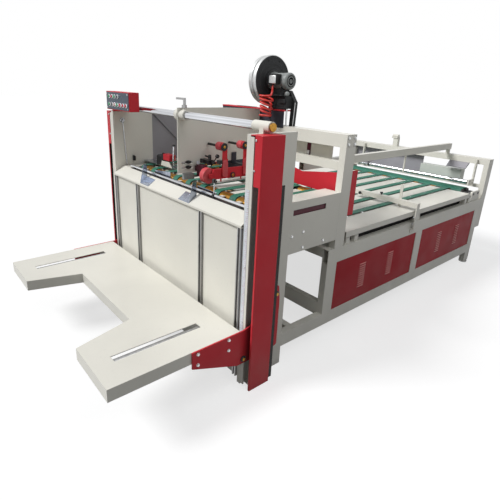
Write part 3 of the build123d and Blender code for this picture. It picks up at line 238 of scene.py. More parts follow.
class Look:
    """A procedural material: a principled shader with noise, wear and bump on object coordinates.

    Scales of noise are in features per metre, and reaches and distances in metres.
    """

    def __init__(self, name, color, rough, metal=0.0):
        self.mat = bpy.data.materials.new(name)
        self.mat.use_nodes = True
        self.tree = self.mat.node_tree
        self.shader = self.tree.nodes["Principled BSDF"]
        self.shader.inputs["Metallic"].default_value = metal
        self.place = self.tree.nodes.new("ShaderNodeTexCoord").outputs["Object"]
        self.color = color
        self.tint = None
        self.rough = rough
        self.normal = None

    def noise(self, scale, detail, stretch=(1, 1, 1)):
        """Noise that is drawn out along the axes where stretch is under 1."""
        shift = self.tree.nodes.new("ShaderNodeMapping")
        shift.inputs["Scale"].default_value = stretch
        self.tree.links.new(self.place, shift.inputs["Vector"])
        node = self.tree.nodes.new("ShaderNodeTexNoise")
        node.inputs["Scale"].default_value = scale
        node.inputs["Detail"].default_value = detail
        self.tree.links.new(shift.outputs[0], node.inputs["Vector"])
        return node.outputs[0]

    def scaled(self, value, low, high, to_low=0.0, to_high=1.0):
        """Map low..high to to_low..to_high, and clamp it there."""
        node = self.tree.nodes.new("ShaderNodeMapRange")
        node.inputs["From Min"].default_value = low
        node.inputs["From Max"].default_value = high
        node.inputs["To Min"].default_value = to_low
        node.inputs["To Max"].default_value = to_high
        self.tree.links.new(value, node.inputs["Value"])
        return node.outputs[0]

    def times(self, a, b):
        """The product of two masks."""
        node = self.tree.nodes.new("ShaderNodeMath")
        node.operation = "MULTIPLY"
        self.tree.links.new(a, node.inputs[0])
        self.tree.links.new(b, node.inputs[1])
        return node.outputs[0]

    def blend(self, mask, color):
        """Lay a colour over what is there, where the mask is."""
        node = self.tree.nodes.new("ShaderNodeMix")
        node.data_type = "RGBA"
        self.tree.links.new(mask, node.inputs[0])
        if self.tint is None:
            node.inputs[6].default_value = (*self.color, 1)
        else:
            self.tree.links.new(self.tint, node.inputs[6])
        node.inputs[7].default_value = (*color, 1)
        self.tint = node.outputs[2]

    def shades(self, amount, scale):
        """Broad, uneven shade of the coat."""
        dark = tuple(c * (1 - amount) for c in self.color)
        self.blend(self.scaled(self.noise(scale, 4), 0.35, 0.65), dark)

    def corner_shade_and_grime(self, color, amount, reach=0.05):
        """Painted shade and grime in corners: darker where ambient occlusion finds near surfaces, in
        patches.
        """
        node = self.tree.nodes.new("ShaderNodeAmbientOcclusion")
        node.samples = 6
        node.inputs["Distance"].default_value = reach
        mask = self.scaled(node.outputs["AO"], 0.25, 0.95, amount, 0.0)
        patches = self.scaled(self.noise(14, 4), 0.3, 0.6, 0.5, 1.0)
        self.blend(self.times(mask, patches), color)

    def low_dirt(self, color, height, amount):
        """Dirt that thins out upwards from the floor."""
        parts = self.tree.nodes.new("ShaderNodeSeparateXYZ")
        self.tree.links.new(self.place, parts.inputs[0])
        mask = self.scaled(parts.outputs["Z"], 0.0, height, amount, 0.0)
        patches = self.scaled(self.noise(9, 5), 0.3, 0.7)
        self.blend(self.times(mask, patches), color)

    def edges(self, radius, color=None, amount=0.6):
        """Rounded edges, and paint that is rubbed off along them."""
        soft = self.tree.nodes.new("ShaderNodeBevel")
        soft.samples = 4
        soft.inputs["Radius"].default_value = radius
        self.normal = soft.outputs[0]
        if color is None:
            return
        flat = self.tree.nodes.new("ShaderNodeNewGeometry")
        dot = self.tree.nodes.new("ShaderNodeVectorMath")
        dot.operation = "DOT_PRODUCT"
        self.tree.links.new(soft.outputs[0], dot.inputs[0])
        self.tree.links.new(flat.outputs["Normal"], dot.inputs[1])
        mask = self.scaled(dot.outputs["Value"], 0.75, 0.98, amount, 0.0)
        patches = self.scaled(self.noise(35, 5), 0.45, 0.62)
        self.blend(self.times(mask, patches), color)

    def bump(self, height, strength, distance):
        """Fine relief on top of the rounded edges."""
        node = self.tree.nodes.new("ShaderNodeBump")
        node.inputs["Strength"].default_value = strength
        node.inputs["Distance"].default_value = distance
        self.tree.links.new(height, node.inputs["Height"])
        if self.normal is not None:
            self.tree.links.new(self.normal, node.inputs["Normal"])
        self.normal = node.outputs[0]

    def done(self, spread=0.08, rough_scale=7):
        """Wire up the colour, an uneven roughness and the bump."""
        if self.tint is None:
            self.shader.inputs["Base Color"].default_value = (*self.color, 1)
        else:
            self.tree.links.new(self.tint, self.shader.inputs["Base Color"])
        smooth = self.rough - spread
        rough = self.scaled(self.noise(rough_scale, 5), 0.3, 0.7, smooth, self.rough + spread)
        self.tree.links.new(rough, self.shader.inputs["Roughness"])
        if self.normal is not None:
            self.tree.links.new(self.normal, self.shader.inputs["Normal"])
        return self.mat


DUST = (0.30, 0.27, 0.22)
# Dark tone for painted shade and soot in corners
SOOT_AND_SHADE = (0.06, 0.055, 0.05)
WEAVE_TURN = 0.785
WEAVE_SCALE = 95.0


def paint(name, color, rough, chip=(0.35, 0.34, 0.32), corner_shade=0.35, shade=0.07, shine=0.25):
    """Powder coat: orange peel, rubbed edges, painted shade and grime in the corners, dirt near the
    floor.
    """
    made = Look(name, color, rough)
    made.shader.inputs["Specular IOR Level"].default_value = shine
    made.shades(shade, 2.2)
    specks = made.scaled(made.noise(60, 6), 0.60, 0.78, 0.0, 0.22)
    made.blend(specks, tuple(0.75 * c for c in color))
    made.edges(0.0022, chip)
    # Painted shade and grime: darker in corners, by ambient occlusion
    made.corner_shade_and_grime(tuple(0.35 * c + 0.5 * s for c, s in zip(color, SOOT_AND_SHADE)), corner_shade)
    made.low_dirt(tuple(0.5 * c + 0.5 * d for c, d in zip(color, DUST)), 0.30, 0.45)
    orange_peel = made.noise(650, 2)
    made.bump(orange_peel, 0.05, 0.0004)
    return made.done()


def metal(name, color, rough, stretch, grain, bump, spots=0.0):
    """Bare metal with its brushing or turning marks."""
    made = Look(name, color, rough, 1.0)
    brushing = made.scaled(made.noise(90, 4, stretch), 0.35, 0.65, 0.0, grain)
    made.blend(brushing, tuple(0.45 * c for c in color))
    if spots:
        stains = made.scaled(made.noise(25, 6), 0.58, 0.75, 0.0, spots)
        made.blend(stains, tuple(0.3 * c for c in color))
    made.edges(0.0008)
    # Painted shade and soot: darker in corners, by ambient occlusion
    made.corner_shade_and_grime(SOOT_AND_SHADE, 0.5, 0.02)
    made.bump(made.noise(300, 2, stretch), bump, 0.0003)
    return made.done(0.05, 30)


def rubber(name, color, rough=0.6, pale=(0.2, 0.19, 0.18)):
    """Dull rubber with pale scuffs."""
    made = Look(name, color, rough)
    made.shades(0.25, 9)
    scuffs = made.scaled(made.noise(40, 6), 0.55, 0.8, 0.0, 0.3)
    made.blend(scuffs, pale)
    made.edges(0.001)
    made.bump(made.noise(500, 3), 0.12, 0.0004)
    return made.done(0.1)


def plastic(name, color, rough=0.3):
    """Moulded plastic, nearly even."""
    made = Look(name, color, rough)
    made.shades(0.12, 30)
    made.edges(0.0006)
    made.bump(made.noise(900, 2), 0.04, 0.0002)
    return made.done(0.06, 40)


def belt_cloth(name, color):
    """Green drive belt: diamond pressed top, worn and dusty along its run."""
    made = Look(name, color, 0.55)
    worn = made.scaled(made.noise(5, 5, (1, 0.25, 1)), 0.35, 0.7, 0.0, 0.55)
    made.blend(worn, tuple(0.55 * c for c in color))
    dusty = made.scaled(made.noise(70, 6, (1, 0.12, 1)), 0.55, 0.8, 0.0, 0.35)
    made.blend(dusty, (0.16, 0.24, 0.2))
    made.edges(0.0008, (0.25, 0.32, 0.28), 0.7)
    # Painted shade and soot: darker in corners, by ambient occlusion
    made.corner_shade_and_grime(SOOT_AND_SHADE, 0.6, 0.02)
    for turn in (WEAVE_TURN, -WEAVE_TURN):
        weave = made.tree.nodes.new("ShaderNodeTexWave")
        weave.inputs["Scale"].default_value = WEAVE_SCALE
        spin = made.tree.nodes.new("ShaderNodeMapping")
        spin.inputs["Rotation"].default_value = (0, 0, turn)
        made.tree.links.new(made.place, spin.inputs["Vector"])
        made.tree.links.new(spin.outputs[0], weave.inputs["Vector"])
        made.bump(weave.outputs["Fac"], 0.25, 0.0006)
    return made.done(0.08)


CREAM = (0.81, 0.79, 0.715)
RED = (0.66, 0.035, 0.05)
LOOKS = {
    "cream_paint": paint("cream_paint", CREAM, 0.36, (0.42, 0.41, 0.38)),
    "red_paint": paint("red_paint", RED, 0.38, (0.75, 0.30, 0.29), 0.45, 0.12, 0.16),
    "dark_red_paint": paint("dark_red_paint", (0.10, 0.018, 0.032), 0.4, (0.3, 0.2, 0.2), shine=0.2),
    "grey_paint": paint("grey_paint", (0.048, 0.050, 0.052), 0.45, (0.2, 0.2, 0.2), 0.3, 0.25, 0.15),
    "pale_paint": paint("pale_paint", (0.62, 0.65, 0.60), 0.4),
    "panel_blue": paint("panel_blue", (0.045, 0.07, 0.105), 0.28, (0.5, 0.5, 0.5), 0.2),
    "black_steel": paint("black_steel", (0.022, 0.022, 0.024), 0.38, (0.25, 0.25, 0.25), 0.2, 0.25),
    "bare_steel": metal("bare_steel", (0.42, 0.42, 0.42), 0.34, (1, 1, 0.06), 0.35, 0.1, 0.35),
    "stainless": metal("stainless", (0.52, 0.54, 0.57), 0.22, (0.08, 1, 1), 0.35, 0.08, 0.2),
    "chrome": metal("chrome", (0.82, 0.84, 0.88), 0.10, (0.015, 1, 1), 0.75, 0.01),
    "brass": metal("brass", (0.50, 0.26, 0.05), 0.32, (0.05, 1, 1), 0.5, 0.12, 0.3),
    "green_belt": belt_cloth("green_belt", (0.012, 0.165, 0.105)),
    "black_rubber": rubber("black_rubber", (0.02, 0.02, 0.021)),
    "red_rubber": rubber("red_rubber", (0.74, 0.085, 0.105), 0.45, (0.85, 0.4, 0.4)),
    "black_plastic": plastic("black_plastic", (0.015, 0.015, 0.016), 0.35),
    "button_plastic": plastic("button_plastic", (0.02, 0.33, 0.12)),
    "white_strip": plastic("white_strip", (0.78, 0.82, 0.88), 0.25),
}
BUTTON_RED = plastic("button_red", (0.62, 0.02, 0.05))
BUTTON_PALE = plastic("button_pale", (0.78, 0.50, 0.48))
BUTTON_DARK = plastic("button_dark", (0.05, 0.06, 0.06))
CABLE_RED = rubber("cable_red", (0.72, 0.045, 0.035), 0.4, (0.9, 0.35, 0.3))
PALE_METAL = metal("pale_metal", (0.62, 0.63, 0.63), 0.38, (1, 1, 1), 0.2, 0.1, 0.2)
CAST = paint("cast_alloy", (0.34, 0.36, 0.355), 0.4, (0.6, 0.6, 0.6), 0.5, 0.3)
POLISHED = metal("polished_sheet", (0.40, 0.44, 0.52), 0.16, (1, 1, 0.1), 0.6, 0.05, 0.5)
GUARD_GREY = paint("guard_grey", (0.38, 0.37, 0.40), 0.5, (0.4, 0.4, 0.4), 0.3, 0.2, 0.2)
SLATE = paint("slate_paint", (0.055, 0.056, 0.075), 0.4, (0.2, 0.2, 0.2), 0.3, 0.25, 0.2)
PANEL_RED = paint("panel_red", (0.42, 0.018, 0.028), 0.5, (0.6, 0.2, 0.2), 0.45, 0.15, 0.10)
# Louvres: near-black red as painted shade in the slots, lighter red as painted highlight on the hoods
LOUVRE_SHADE = paint("louvre_painted_shade", (0.16, 0.008, 0.012), 0.6, (0.3, 0.1, 0.1), 0.4, 0.15, 0.05)
LOUVRE_LIT_RED = paint("louvre_lit_red", (0.90, 0.36, 0.34), 0.4, (0.85, 0.5, 0.48), 0.2, 0.1)
# Near-black for painted shade in openings, vents, covers and under the deck's lip
SHADE_BLACK = plastic("painted_shade_black", (0.008, 0.007, 0.007), 0.8)
MARKS = plastic("marks", (0.55, 0.08, 0.10), 0.5)
OWN_LOOKS = {"rear_guard": GUARD_GREY, "end_hood": GUARD_GREY, "side_guides": POLISHED,
             "side_panels": PANEL_RED}

for part in frame["record"]["subparts"]:
    node = frame["nodes"][part["node"]]
    node.data.materials.clear()
    node.data.materials.append(OWN_LOOKS.get(part["node"], LOOKS[part["material_slot"]]))
cable.data.materials.append(CABLE_RED)


# Pieces

SHARP_ANGLE = math.radians(32)


class Piece:
    """A mesh under construction, in the machine's millimetres."""

    def __init__(self, name, body="frame"):
        self.name = name
        self.body = body
        self.bm = bmesh.new()

    def loft(self, rings):
        """Closed skin over rings of points, all with as many points."""
        made = [[self.bm.verts.new(at(*p)) for p in ring] for ring in rings]
        for a, b in zip(made, made[1:]):
            for n in range(len(a)):
                m = (n + 1) % len(a)
                self.bm.faces.new((a[n], a[m], b[m], b[n]))
        self.bm.faces.new(made[0])
        self.bm.faces.new(made[-1])

    def box(self, xs, ys, zs):
        """Block between two places on each axis."""
        x0, x1 = xs
        y0, y1 = ys
        self.loft([[(x0, y0, z), (x1, y0, z), (x1, y1, z), (x0, y1, z)] for z in zs])

    def turned(self, start, along, profile, sides=28):
        """A body of revolution: profile holds (distance along the axis, radius)."""
        axis = Vector(along).normalized()
        u = axis.orthogonal().normalized()
        v = axis.cross(u)
        angles = [2 * math.pi * n / sides for n in range(sides)]
        around = [u * math.cos(a) + v * math.sin(a) for a in angles]
        rings = []
        for reach, radius in profile:
            mid = Vector(start) + axis * reach
            rings.append([tuple(mid + way * radius) for way in around])
        self.loft(rings)

    def rod(self, a, b, d, sides=16):
        """Round bar from a to b with broken edges."""
        run = Vector(b) - Vector(a)
        r = d / 2
        c = min(r * 0.35, 1.5)
        self.turned(a, run, [(0, r - c), (c, r), (run.length - c, r), (run.length, r - c)], sides)

    def bolt(self, spot, along, d):
        """Hexagon head on its washer."""
        axis = Vector(along).normalized()
        self.turned(spot, along, [(0, d), (0.14 * d, d), (0.18 * d, 0.95 * d)], 24)
        head = tuple(Vector(spot) + axis * 0.18 * d)
        self.turned(head, along, [(0, 0.86 * d), (0.5 * d, 0.86 * d), (0.6 * d, 0.74 * d)], 6)

    def screw(self, spot, along, d):
        """Pan head with a round socket."""
        r = d / 2
        self.turned(spot, along, [(0, r), (0.22 * d, r), (0.38 * d, 0.8 * r), (0.42 * d, 0.5 * r),
                                  (0.40 * d, 0.38 * r), (0.2 * d, 0.34 * r)], 20)

    def knob(self, spot, along, d, stem):
        """Round grip on its stem, with a domed top."""
        r = d / 2
        self.turned(spot, along, [(0, 0.36 * r), (stem, 0.36 * r), (stem, 0.7 * r),
                                  (stem + 0.25 * r, r), (stem + 0.95 * r, r),
                                  (stem + 1.2 * r, 0.8 * r), (stem + 1.3 * r, 0.3 * r)], 18)

    def prism(self, outline, x0, x1):
        """Outline in the YZ plane, from x0 to x1."""
        self.loft([[(x, y, z) for y, z in outline] for x in (x0, x1)])

    def done(self, look, slot, replaces=(), bevel=0.0):
        """Make the object, on its body, in the place of the CAD nodes it replaces. The slot is not used.
        """
        bmesh.ops.recalc_face_normals(self.bm, faces=self.bm.faces)
        mesh = bpy.data.meshes.new(self.name)
        self.bm.to_mesh(mesh)
        self.bm.free()
        mesh.shade_smooth()
        mesh.set_sharp_from_angle(angle=SHARP_ANGLE)
        mesh.materials.append(look)
        obj = bpy.data.objects.new(self.name, mesh)
        scene.collection.objects.link(obj)
        if bevel:
            edge = obj.modifiers.new("edge", "BEVEL")
            edge.width = bevel / 1000
            edge.segments = 2
            edge.limit_method = "ANGLE"
        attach(obj, self.body)
        if replaces:
            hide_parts(*replaces)


LEFT = -1
RIGHT = 1
OUT_X = (1, 0, 0)
FEED_WAY = (0, -1, 0)
UP = (0, 0, 1)
DOWN = (0, 0, -1)


def side(s, span):
    """A span in x, on the left (-1) or right (1) side."""
    return sorted(s * x for x in span)


# Frame: screws and bolts
FLANGE_SCREW = 11
FLANGE_SCREWS = ((804, 1357), (799, 1217))
LINK_X = 763
LINK_BOLT = 9
LINK_BOLTS = ((428, 824), (432, 729), (614, 733), (336, 812))
GANTRY_BOLTS = ((758, 1290), (758, 1325), (816, 1290), (816, 1325))
STRIP_PLACE = (766, -1.5)
STRIP_SCREW = 8
STRIP_SCREW_ZS = (1029, 716, 399)
GUIDE_FOOT = (776, 1680)
GUIDE_BOLT = 8
GUIDE_BOLT_ZS = (690, 640)
PANEL_FACE = -3
PANEL_SCREW = 9
PANEL_SCREW_XS = (-812, -483)
PANEL_SCREW_ZS = (1501, 1409)
bolts = Piece("frame_bolts")
for s in (LEFT, RIGHT):
    for x, z in FLANGE_SCREWS:
        bolts.screw((s * x, 0, z), FEED_WAY, FLANGE_SCREW)
    for y, z in LINK_BOLTS + GANTRY_BOLTS:
        bolts.bolt((s * LINK_X, y, z), (s, 0, 0), LINK_BOLT)
for z in STRIP_SCREW_ZS:
    bolts.screw((*STRIP_PLACE, z), FEED_WAY, STRIP_SCREW)
for z in GUIDE_BOLT_ZS:
    bolts.bolt((*GUIDE_FOOT, z), FEED_WAY, GUIDE_BOLT)
for x in PANEL_SCREW_XS:
    for z in PANEL_SCREW_ZS:
        bolts.screw((x, PANEL_FACE, z), FEED_WAY, PANEL_SCREW)
bolts.done(PALE_METAL, "bare_steel")

# Lift carriages: gusset bolts, and a collar with a brass cap on each roller's pin
PLATE_X = 803
GUSSET_BOLT = 9
GUSSET_BOLTS = ((-311, 353), (-311, 292), (-120, 355), (-120, 294))
PINS = ((-18.3, 199.0), (203.3, 520.0))
COLLAR = ((0, 17), (6, 17), (9.4, 14), (9.4, 9))
CAP_SEAT = 9
PIN_CAP = ((0, 9.5), (2.5, 9.5), (4, 7.5), (4, 2), (2.5, 1.5))
lift_bolts = Piece("carriage_bolts", "lift")
collars = Piece("carriage_collars", "lift")
pin_caps = Piece("carriage_pin_caps", "lift")
for s in (LEFT, RIGHT):
    for y, z in GUSSET_BOLTS:
        lift_bolts.bolt((s * PLATE_X, y, z), (s, 0, 0), GUSSET_BOLT)
    for y, z in PINS:
        collars.turned((s * PLATE_X, y, z), (s, 0, 0), COLLAR)
        pin_caps.turned((s * (PLATE_X + CAP_SEAT), y, z), (s, 0, 0), PIN_CAP)
lift_bolts.done(PALE_METAL, "bare_steel")
collars.done(LOOKS["black_steel"], "black_steel")
pin_caps.done(LOOKS["brass"], "brass")

# Painted shade: a near-black sheet inside the red covers, where their open front lies in shade
COVER_SHADE_SHEET = ((838.5, 841.5), (6, 170), (20, 1138))
cover_shade = Piece("cover_painted_shade")
for s in (LEFT, RIGHT):
    cover_shade.box(side(s, COVER_SHADE_SHEET[0]), *COVER_SHADE_SHEET[1:])
cover_shade.done(SHADE_BLACK, "black_steel")

# Scale lines, plain, every fifth one longer; no figures
SCALE_LINES = 81
SCALE_LOW = 308
SCALE_STEP = 10
SCALE_EDGE = 771
LINE_T = 0.9
LINE_YS = (-1.75, -1.4)
LINE_REACH = 10
LONG_REACH = 18
marks = Piece("scale_lines")
for n in range(SCALE_LINES):
    reach = LONG_REACH if n % 5 == 0 else LINE_REACH
    z = SCALE_LOW + SCALE_STEP * n
    marks.box((SCALE_EDGE - reach, SCALE_EDGE), LINE_YS, (z, z + LINE_T))
marks.done(MARKS, "white_strip")

# Louvres pressed in the side panels: a hood in a lighter red as painted highlight, and a near-black box
# under it as painted shade in the slot
PANEL_X = 759.0
LOUVRE_YS = (1100, 1457, 2238, 2577)
LOUVRE_TOP = 456.0
LOUVRE_PITCH = 17.2
LOUVRES = 11
LOUVRE_W = 76
LOUVRE_RISE = 4.6
LOUVRE_STEPS = 10
LOUVRE_ROOT = -0.4
LOUVRE_SLOT_X = (-0.5, 0.35)
LOUVRE_SLOT_HALF = 36
LOUVRE_SLOT_Z = (-9.5, -3.0)


def louvre(s, y, z):
    """Sections of one hood, which is highest in its middle."""
    rings = []
    for k in range(LOUVRE_STEPS + 1):
        t = -1 + 2 * k / LOUVRE_STEPS
        rise = LOUVRE_RISE * max(1 - t ** 4, 0.0) ** 0.5
        section = ((LOUVRE_ROOT, 2.2), (0.55 * rise, 1.4), (rise, -0.8),
                   (0.92 * rise, -3.0), (LOUVRE_ROOT, -2.8))
        rings.append([(s * (PANEL_X + out), y + t * LOUVRE_W / 2, z + up) for out, up in section])
    return rings


hoods = Piece("louvre_hoods")
slot_shades = Piece("louvre_slot_shades")
for s in (LEFT, RIGHT):
    for y in LOUVRE_YS:
        for n in range(LOUVRES):
            z = LOUVRE_TOP - LOUVRE_PITCH * n
            hoods.loft(louvre(s, y, z))
            slot_x = side(s, [PANEL_X + out for out in LOUVRE_SLOT_X])
            slot_y = (y - LOUVRE_SLOT_HALF, y + LOUVRE_SLOT_HALF)
            slot_shades.box(slot_x, slot_y, [z + up for up in LOUVRE_SLOT_Z])
# Hoods in a lighter copy of the red paint: painted highlight; slots in near-black red: painted shade
hoods.done(LOUVRE_LIT_RED, "red_paint")
slot_shades.done(LOUVRE_SHADE, "dark_red_paint")

# End caps in the mouths of the gantries' beams
CAP_X = (759.0, 762.5)
CAP_INSET = 4.3
BEAM_MOUTHS = (((742, 832), (1269, 1345)), ((3000, 3092), (964, 1018)))
beam_caps = Piece("beam_caps")
for (y0, y1), (z0, z1) in BEAM_MOUTHS:
    for s in (LEFT, RIGHT):
        beam_caps.box(side(s, CAP_X), (y0 + CAP_INSET, y1 - CAP_INSET), (z0 + CAP_INSET, z1 - CAP_INSET))
beam_caps.done(LOOKS["cream_paint"], "cream_paint")

# Painted shade: dark boards where shade shows through the link sides' slots and under the deck's lip
LINK_SLOT_SHADE = ((752, 757), (326, 618), (918, 974))
DECK_LIP_SHADE = ((690, 694), (960, 2690), (560, 690))
link_slot_shade = Piece("link_slot_shade_boards")
deck_lip_shade = Piece("deck_lip_shade")
for s in (LEFT, RIGHT):
    link_slot_shade.box(side(s, LINK_SLOT_SHADE[0]), *LINK_SLOT_SHADE[1:])
    deck_lip_shade.box(side(s, DECK_LIP_SHADE[0]), *DECK_LIP_SHADE[1:])
link_slot_shade.done(LOOKS["dark_red_paint"], "dark_red_paint")
deck_lip_shade.done(SHADE_BLACK, "black_steel")

# Push buttons: bezel, collar and domed cap, in the places of the CAD buttons
BUTTON_X = -770
BUTTON_PITCH = 44
BUTTON_ROWS = {1484: ("green", "red", "green", "dark"),
               1430: ("green", "dark", "pale", "green", "red", "red", "red")}
BUTTON_LOOKS = {"green": LOOKS["button_plastic"], "red": BUTTON_RED,
                "pale": BUTTON_PALE, "dark": BUTTON_DARK}
BEZEL = ((0, 15.5), (2, 15.5), (4, 14), (7, 13.5), (7, 11.5), (4, 11.2))
BUTTON_FACE = -4
BUTTON_CAP = ((0, 11), (7.5, 11), (9, 10), (9.8, 7), (10, 2))
buttons = {c: Piece("buttons_" + c) for c in BUTTON_LOOKS}
bezels = Piece("button_bezels")
for z, row in BUTTON_ROWS.items():
    for n, c in enumerate(row):
        x = BUTTON_X + n * BUTTON_PITCH
        bezels.turned((x, PANEL_FACE, z), FEED_WAY, BEZEL)
        buttons[c].turned((x, BUTTON_FACE, z), FEED_WAY, BUTTON_CAP)
for c, piece in buttons.items():
    piece.done(BUTTON_LOOKS[c], "button_plastic")
bezels.done(LOOKS["chrome"], "chrome", ["push_buttons"])

# Rollers under the belts: a dark drum on its shaft, a plain band under each belt, ribbed brass sleeves.
# A turned profile holds distances along the axis and radii.
SHAFT_R = 9.9
DRUM_SIDES = 40


def drum(piece, y, z, r, half, reach):
    """Plain drum out to half on both sides, on a shaft out to reach."""
    near = reach - half
    far = reach + half
    piece.turned((-reach, y, z), OUT_X, ((0, SHAFT_R), (near, SHAFT_R), (near, r), (far, r),
                                        (far, SHAFT_R), (2 * reach, SHAFT_R)), DRUM_SIDES)


def band(piece, x, y, z, r, width, drop):
    """Plain band under a belt, a little wider than it, with sloped shoulders."""
    ends = ((0, r - drop), (3, r), (width + 1, r), (width + 4, r - drop))
    piece.turned((x - width / 2 - 2, y, z), OUT_X, ends, DRUM_SIDES)


def ribbed(piece, x0, x1, y, z, r, rib, groove, depth=1.7):
    """Sleeve along x with turned grooves."""
    count = max(1, round((x1 - x0) / (rib + groove)))
    step = (x1 - x0) / count
    profile = [(0, r - depth)]
    for n in range(count):
        a = n * step + groove / 2
        b = (n + 1) * step - groove / 2
        profile += [(a, r - depth), (a + 0.5, r), (b - 0.5, r), (b, r - depth)]
    piece.turned((x0, y, z), OUT_X, profile + [(x1 - x0, r - depth)], DRUM_SIDES)


def belt_places(pitch, count):
    """Belts' places in x, even about the centre line."""
    return [(n - (count - 1) / 2) * pitch for n in range(count)]


FEED_PITCH = 152
FEED_COUNT = 9
FEED_W = 50
FEED_Z = 959
FEED_R = 37.6
FEED_DROP = 1
# y of each shaft, and how far it reaches from the centre line
FEED_SHAFTS = {190: 765, 690: 758}
FEED_DRUM_R = 34
FEED_DRUM_HALF = 639
FEED_SLEEVE_GAP = 5
# width of a rib and of a groove
FEED_RIB = (7.5, 2.4)
FEED_XS = belt_places(FEED_PITCH, FEED_COUNT)
sleeves = Piece("feed_sleeves")
cores = Piece("feed_roller_cores")
for y, reach in FEED_SHAFTS.items():
    drum(cores, y, FEED_Z, FEED_DRUM_R, FEED_DRUM_HALF, reach)
    for x in FEED_XS:
        band(cores, x, y, FEED_Z, FEED_R, FEED_W, FEED_DROP)
    for x in FEED_XS[:-1]:
        start = x + FEED_W / 2 + FEED_SLEEVE_GAP
        end = x + FEED_PITCH - FEED_W / 2 - FEED_SLEEVE_GAP
        ribbed(sleeves, start, end, y, FEED_Z, FEED_R, *FEED_RIB)
cores.done(LOOKS["black_steel"], "black_steel", ["feed_pulleys"])
sleeves.done(LOOKS["brass"], "brass")

# Deck rollers: one short sleeve to the right of each belt
DECK_PITCH = 176
DECK_COUNT = 7
DECK_W = 52
DECK_Z = 696
DECK_R = 41.6
DECK_DROP = 1.6
DECK_YS = (890, 2742)
DECK_REACH = 738
DECK_DRUM_R = 38
DECK_DRUM_HALF = 560
DECK_SLEEVE = (30, 74)
DECK_RIB = (9, 2)
deck_cores = Piece("deck_roller_cores")
deck_sleeves = Piece("deck_sleeves")
for y in DECK_YS:
    drum(deck_cores, y, DECK_Z, DECK_DRUM_R, DECK_DRUM_HALF, DECK_REACH)
    for x in belt_places(DECK_PITCH, DECK_COUNT):
        band(deck_cores, x, y, DECK_Z, DECK_R, DECK_W, DECK_DROP)
        end = min(x + DECK_SLEEVE[1], DECK_DRUM_HALF)
        ribbed(deck_sleeves, x + DECK_SLEEVE[0], end, y, DECK_Z, DECK_R, *DECK_RIB)
deck_cores.done(LOOKS["black_steel"], "black_steel", ["deck_pulleys"])
deck_sleeves.done(LOOKS["brass"], "brass")

# Tabs of the apron in front of the feed rollers
TABLE_Z = 985
TAB_X = (61, 92)
TAB_YS = (98, 156)
TAB_T = 3
tabs = Piece("apron_tabs")
for x in FEED_XS[:-1]:
    tabs.box((x + TAB_X[0], x + TAB_X[1]), TAB_YS, (TABLE_Z - TAB_T, TABLE_Z))
tabs.done(LOOKS["cream_paint"], "cream_paint", bevel=0.8)

# Stop rod on the chrome front rod, with its clamp
ROD_Y = 68
ROD_Z = 1003
ROD_R = 6
STOP_X = 402
STOP_D = 5
STOP_TOP = 1080
STOP_COLLAR = ((0, 11), (1, 12), (15, 12), (16, 11))
STOP_HALF = 8
STOP_BLOCK = ((STOP_X - STOP_HALF, STOP_X + STOP_HALF), (ROD_Y - 9, ROD_Y + 9), (1074, 1096))
STOP_KNOB = ((STOP_X + STOP_HALF, ROD_Y, 1085), OUT_X, 14, 4)
stop = Piece("stop_rod")
stop.rod((STOP_X, ROD_Y, ROD_Z + ROD_R), (STOP_X, ROD_Y, STOP_TOP), STOP_D)
stop.done(LOOKS["chrome"], "chrome")
stop_clamp = Piece("stop_clamp")
stop_clamp.turned((STOP_X - STOP_HALF, ROD_Y, ROD_Z), OUT_X, STOP_COLLAR)
stop_clamp.box(*STOP_BLOCK)
stop_clamp.knob(*STOP_KNOB)
stop_clamp.done(LOOKS["black_plastic"], "black_plastic", bevel=1.2)

# Low upright screens of bright sheet behind the front rod: ends in x, and the height at each end
SCREENS = (((215, 1021), (400, 1015)), ((-293, 1023), (-92, 1046)))
SCREEN_LOW = 986
SCREEN_YS = (84, 85.5)
screens = Piece("rod_screens")
for (x0, top0), (x1, top1) in SCREENS:
    outline = ((x0, SCREEN_LOW), (x1, SCREEN_LOW), (x1, top1), (x0, top0))
    screens.loft([[(x, y, z) for x, z in outline] for y in SCREEN_YS])
screens.done(POLISHED, "stainless", bevel=0.4)

# Edge gauge: steel bracket, black slide, red head, pale wedge, bright slanted rod with its knob
GAUGE_TOP = 1012
GAUGE_PLATE = ((-740, -336), (236, 312), (1006, GAUGE_TOP))
GAUGE_SCREW = 10
GAUGE_SCREWS = ((-715, 256), (-715, 292))
SLIDE_X = (-560, -468)
SLIDE_OUTLINE = ((248, GAUGE_TOP), (306, GAUGE_TOP), (306, 1070), (298, 1078), (256, 1078), (248, 1070))
SLIDE_KNOB = ((-512, 277, 1078), UP, 22, 4)
SLIDE_NOSE = ((-468, -440), (262, 286), (GAUGE_TOP, 1052))
SLIDE_BOLT = ((-440, 274, 1024), OUT_X, 6)
HEAD = ((-466, -374), (246, 300), (1052, 1098))
WEDGE = ((-484, 1012.3), (-330, 1012.3), (-372, 1050), (-470, 1046))
WEDGE_YS = (238, 244)
SLANT_LOW = (-360, 268, GAUGE_TOP)
SLANT_TOP = (-350, 268, 1168)
SLANT_D = 11
SLANT_KNOB_PLACE = (-350, 268, 1164)
SLANT_KNOB = ((0, 9), (2, 11), (10, 11), (14, 8), (15, 3))
gauge = Piece("gauge_bracket")
gauge.box(*GAUGE_PLATE)
for x, y in GAUGE_SCREWS:
    gauge.screw((x, y, GAUGE_TOP), UP, GAUGE_SCREW)
gauge.done(LOOKS["stainless"], "stainless", ["edge_gauge"], 1.0)
slide = Piece("gauge_slide")
slide.prism(SLIDE_OUTLINE, *SLIDE_X)
slide.knob(*SLIDE_KNOB)
slide.box(*SLIDE_NOSE)
slide.bolt(*SLIDE_BOLT)
slide.done(LOOKS["black_steel"], "black_steel", bevel=1.5)
head = Piece("gauge_head")
head.box(*HEAD)
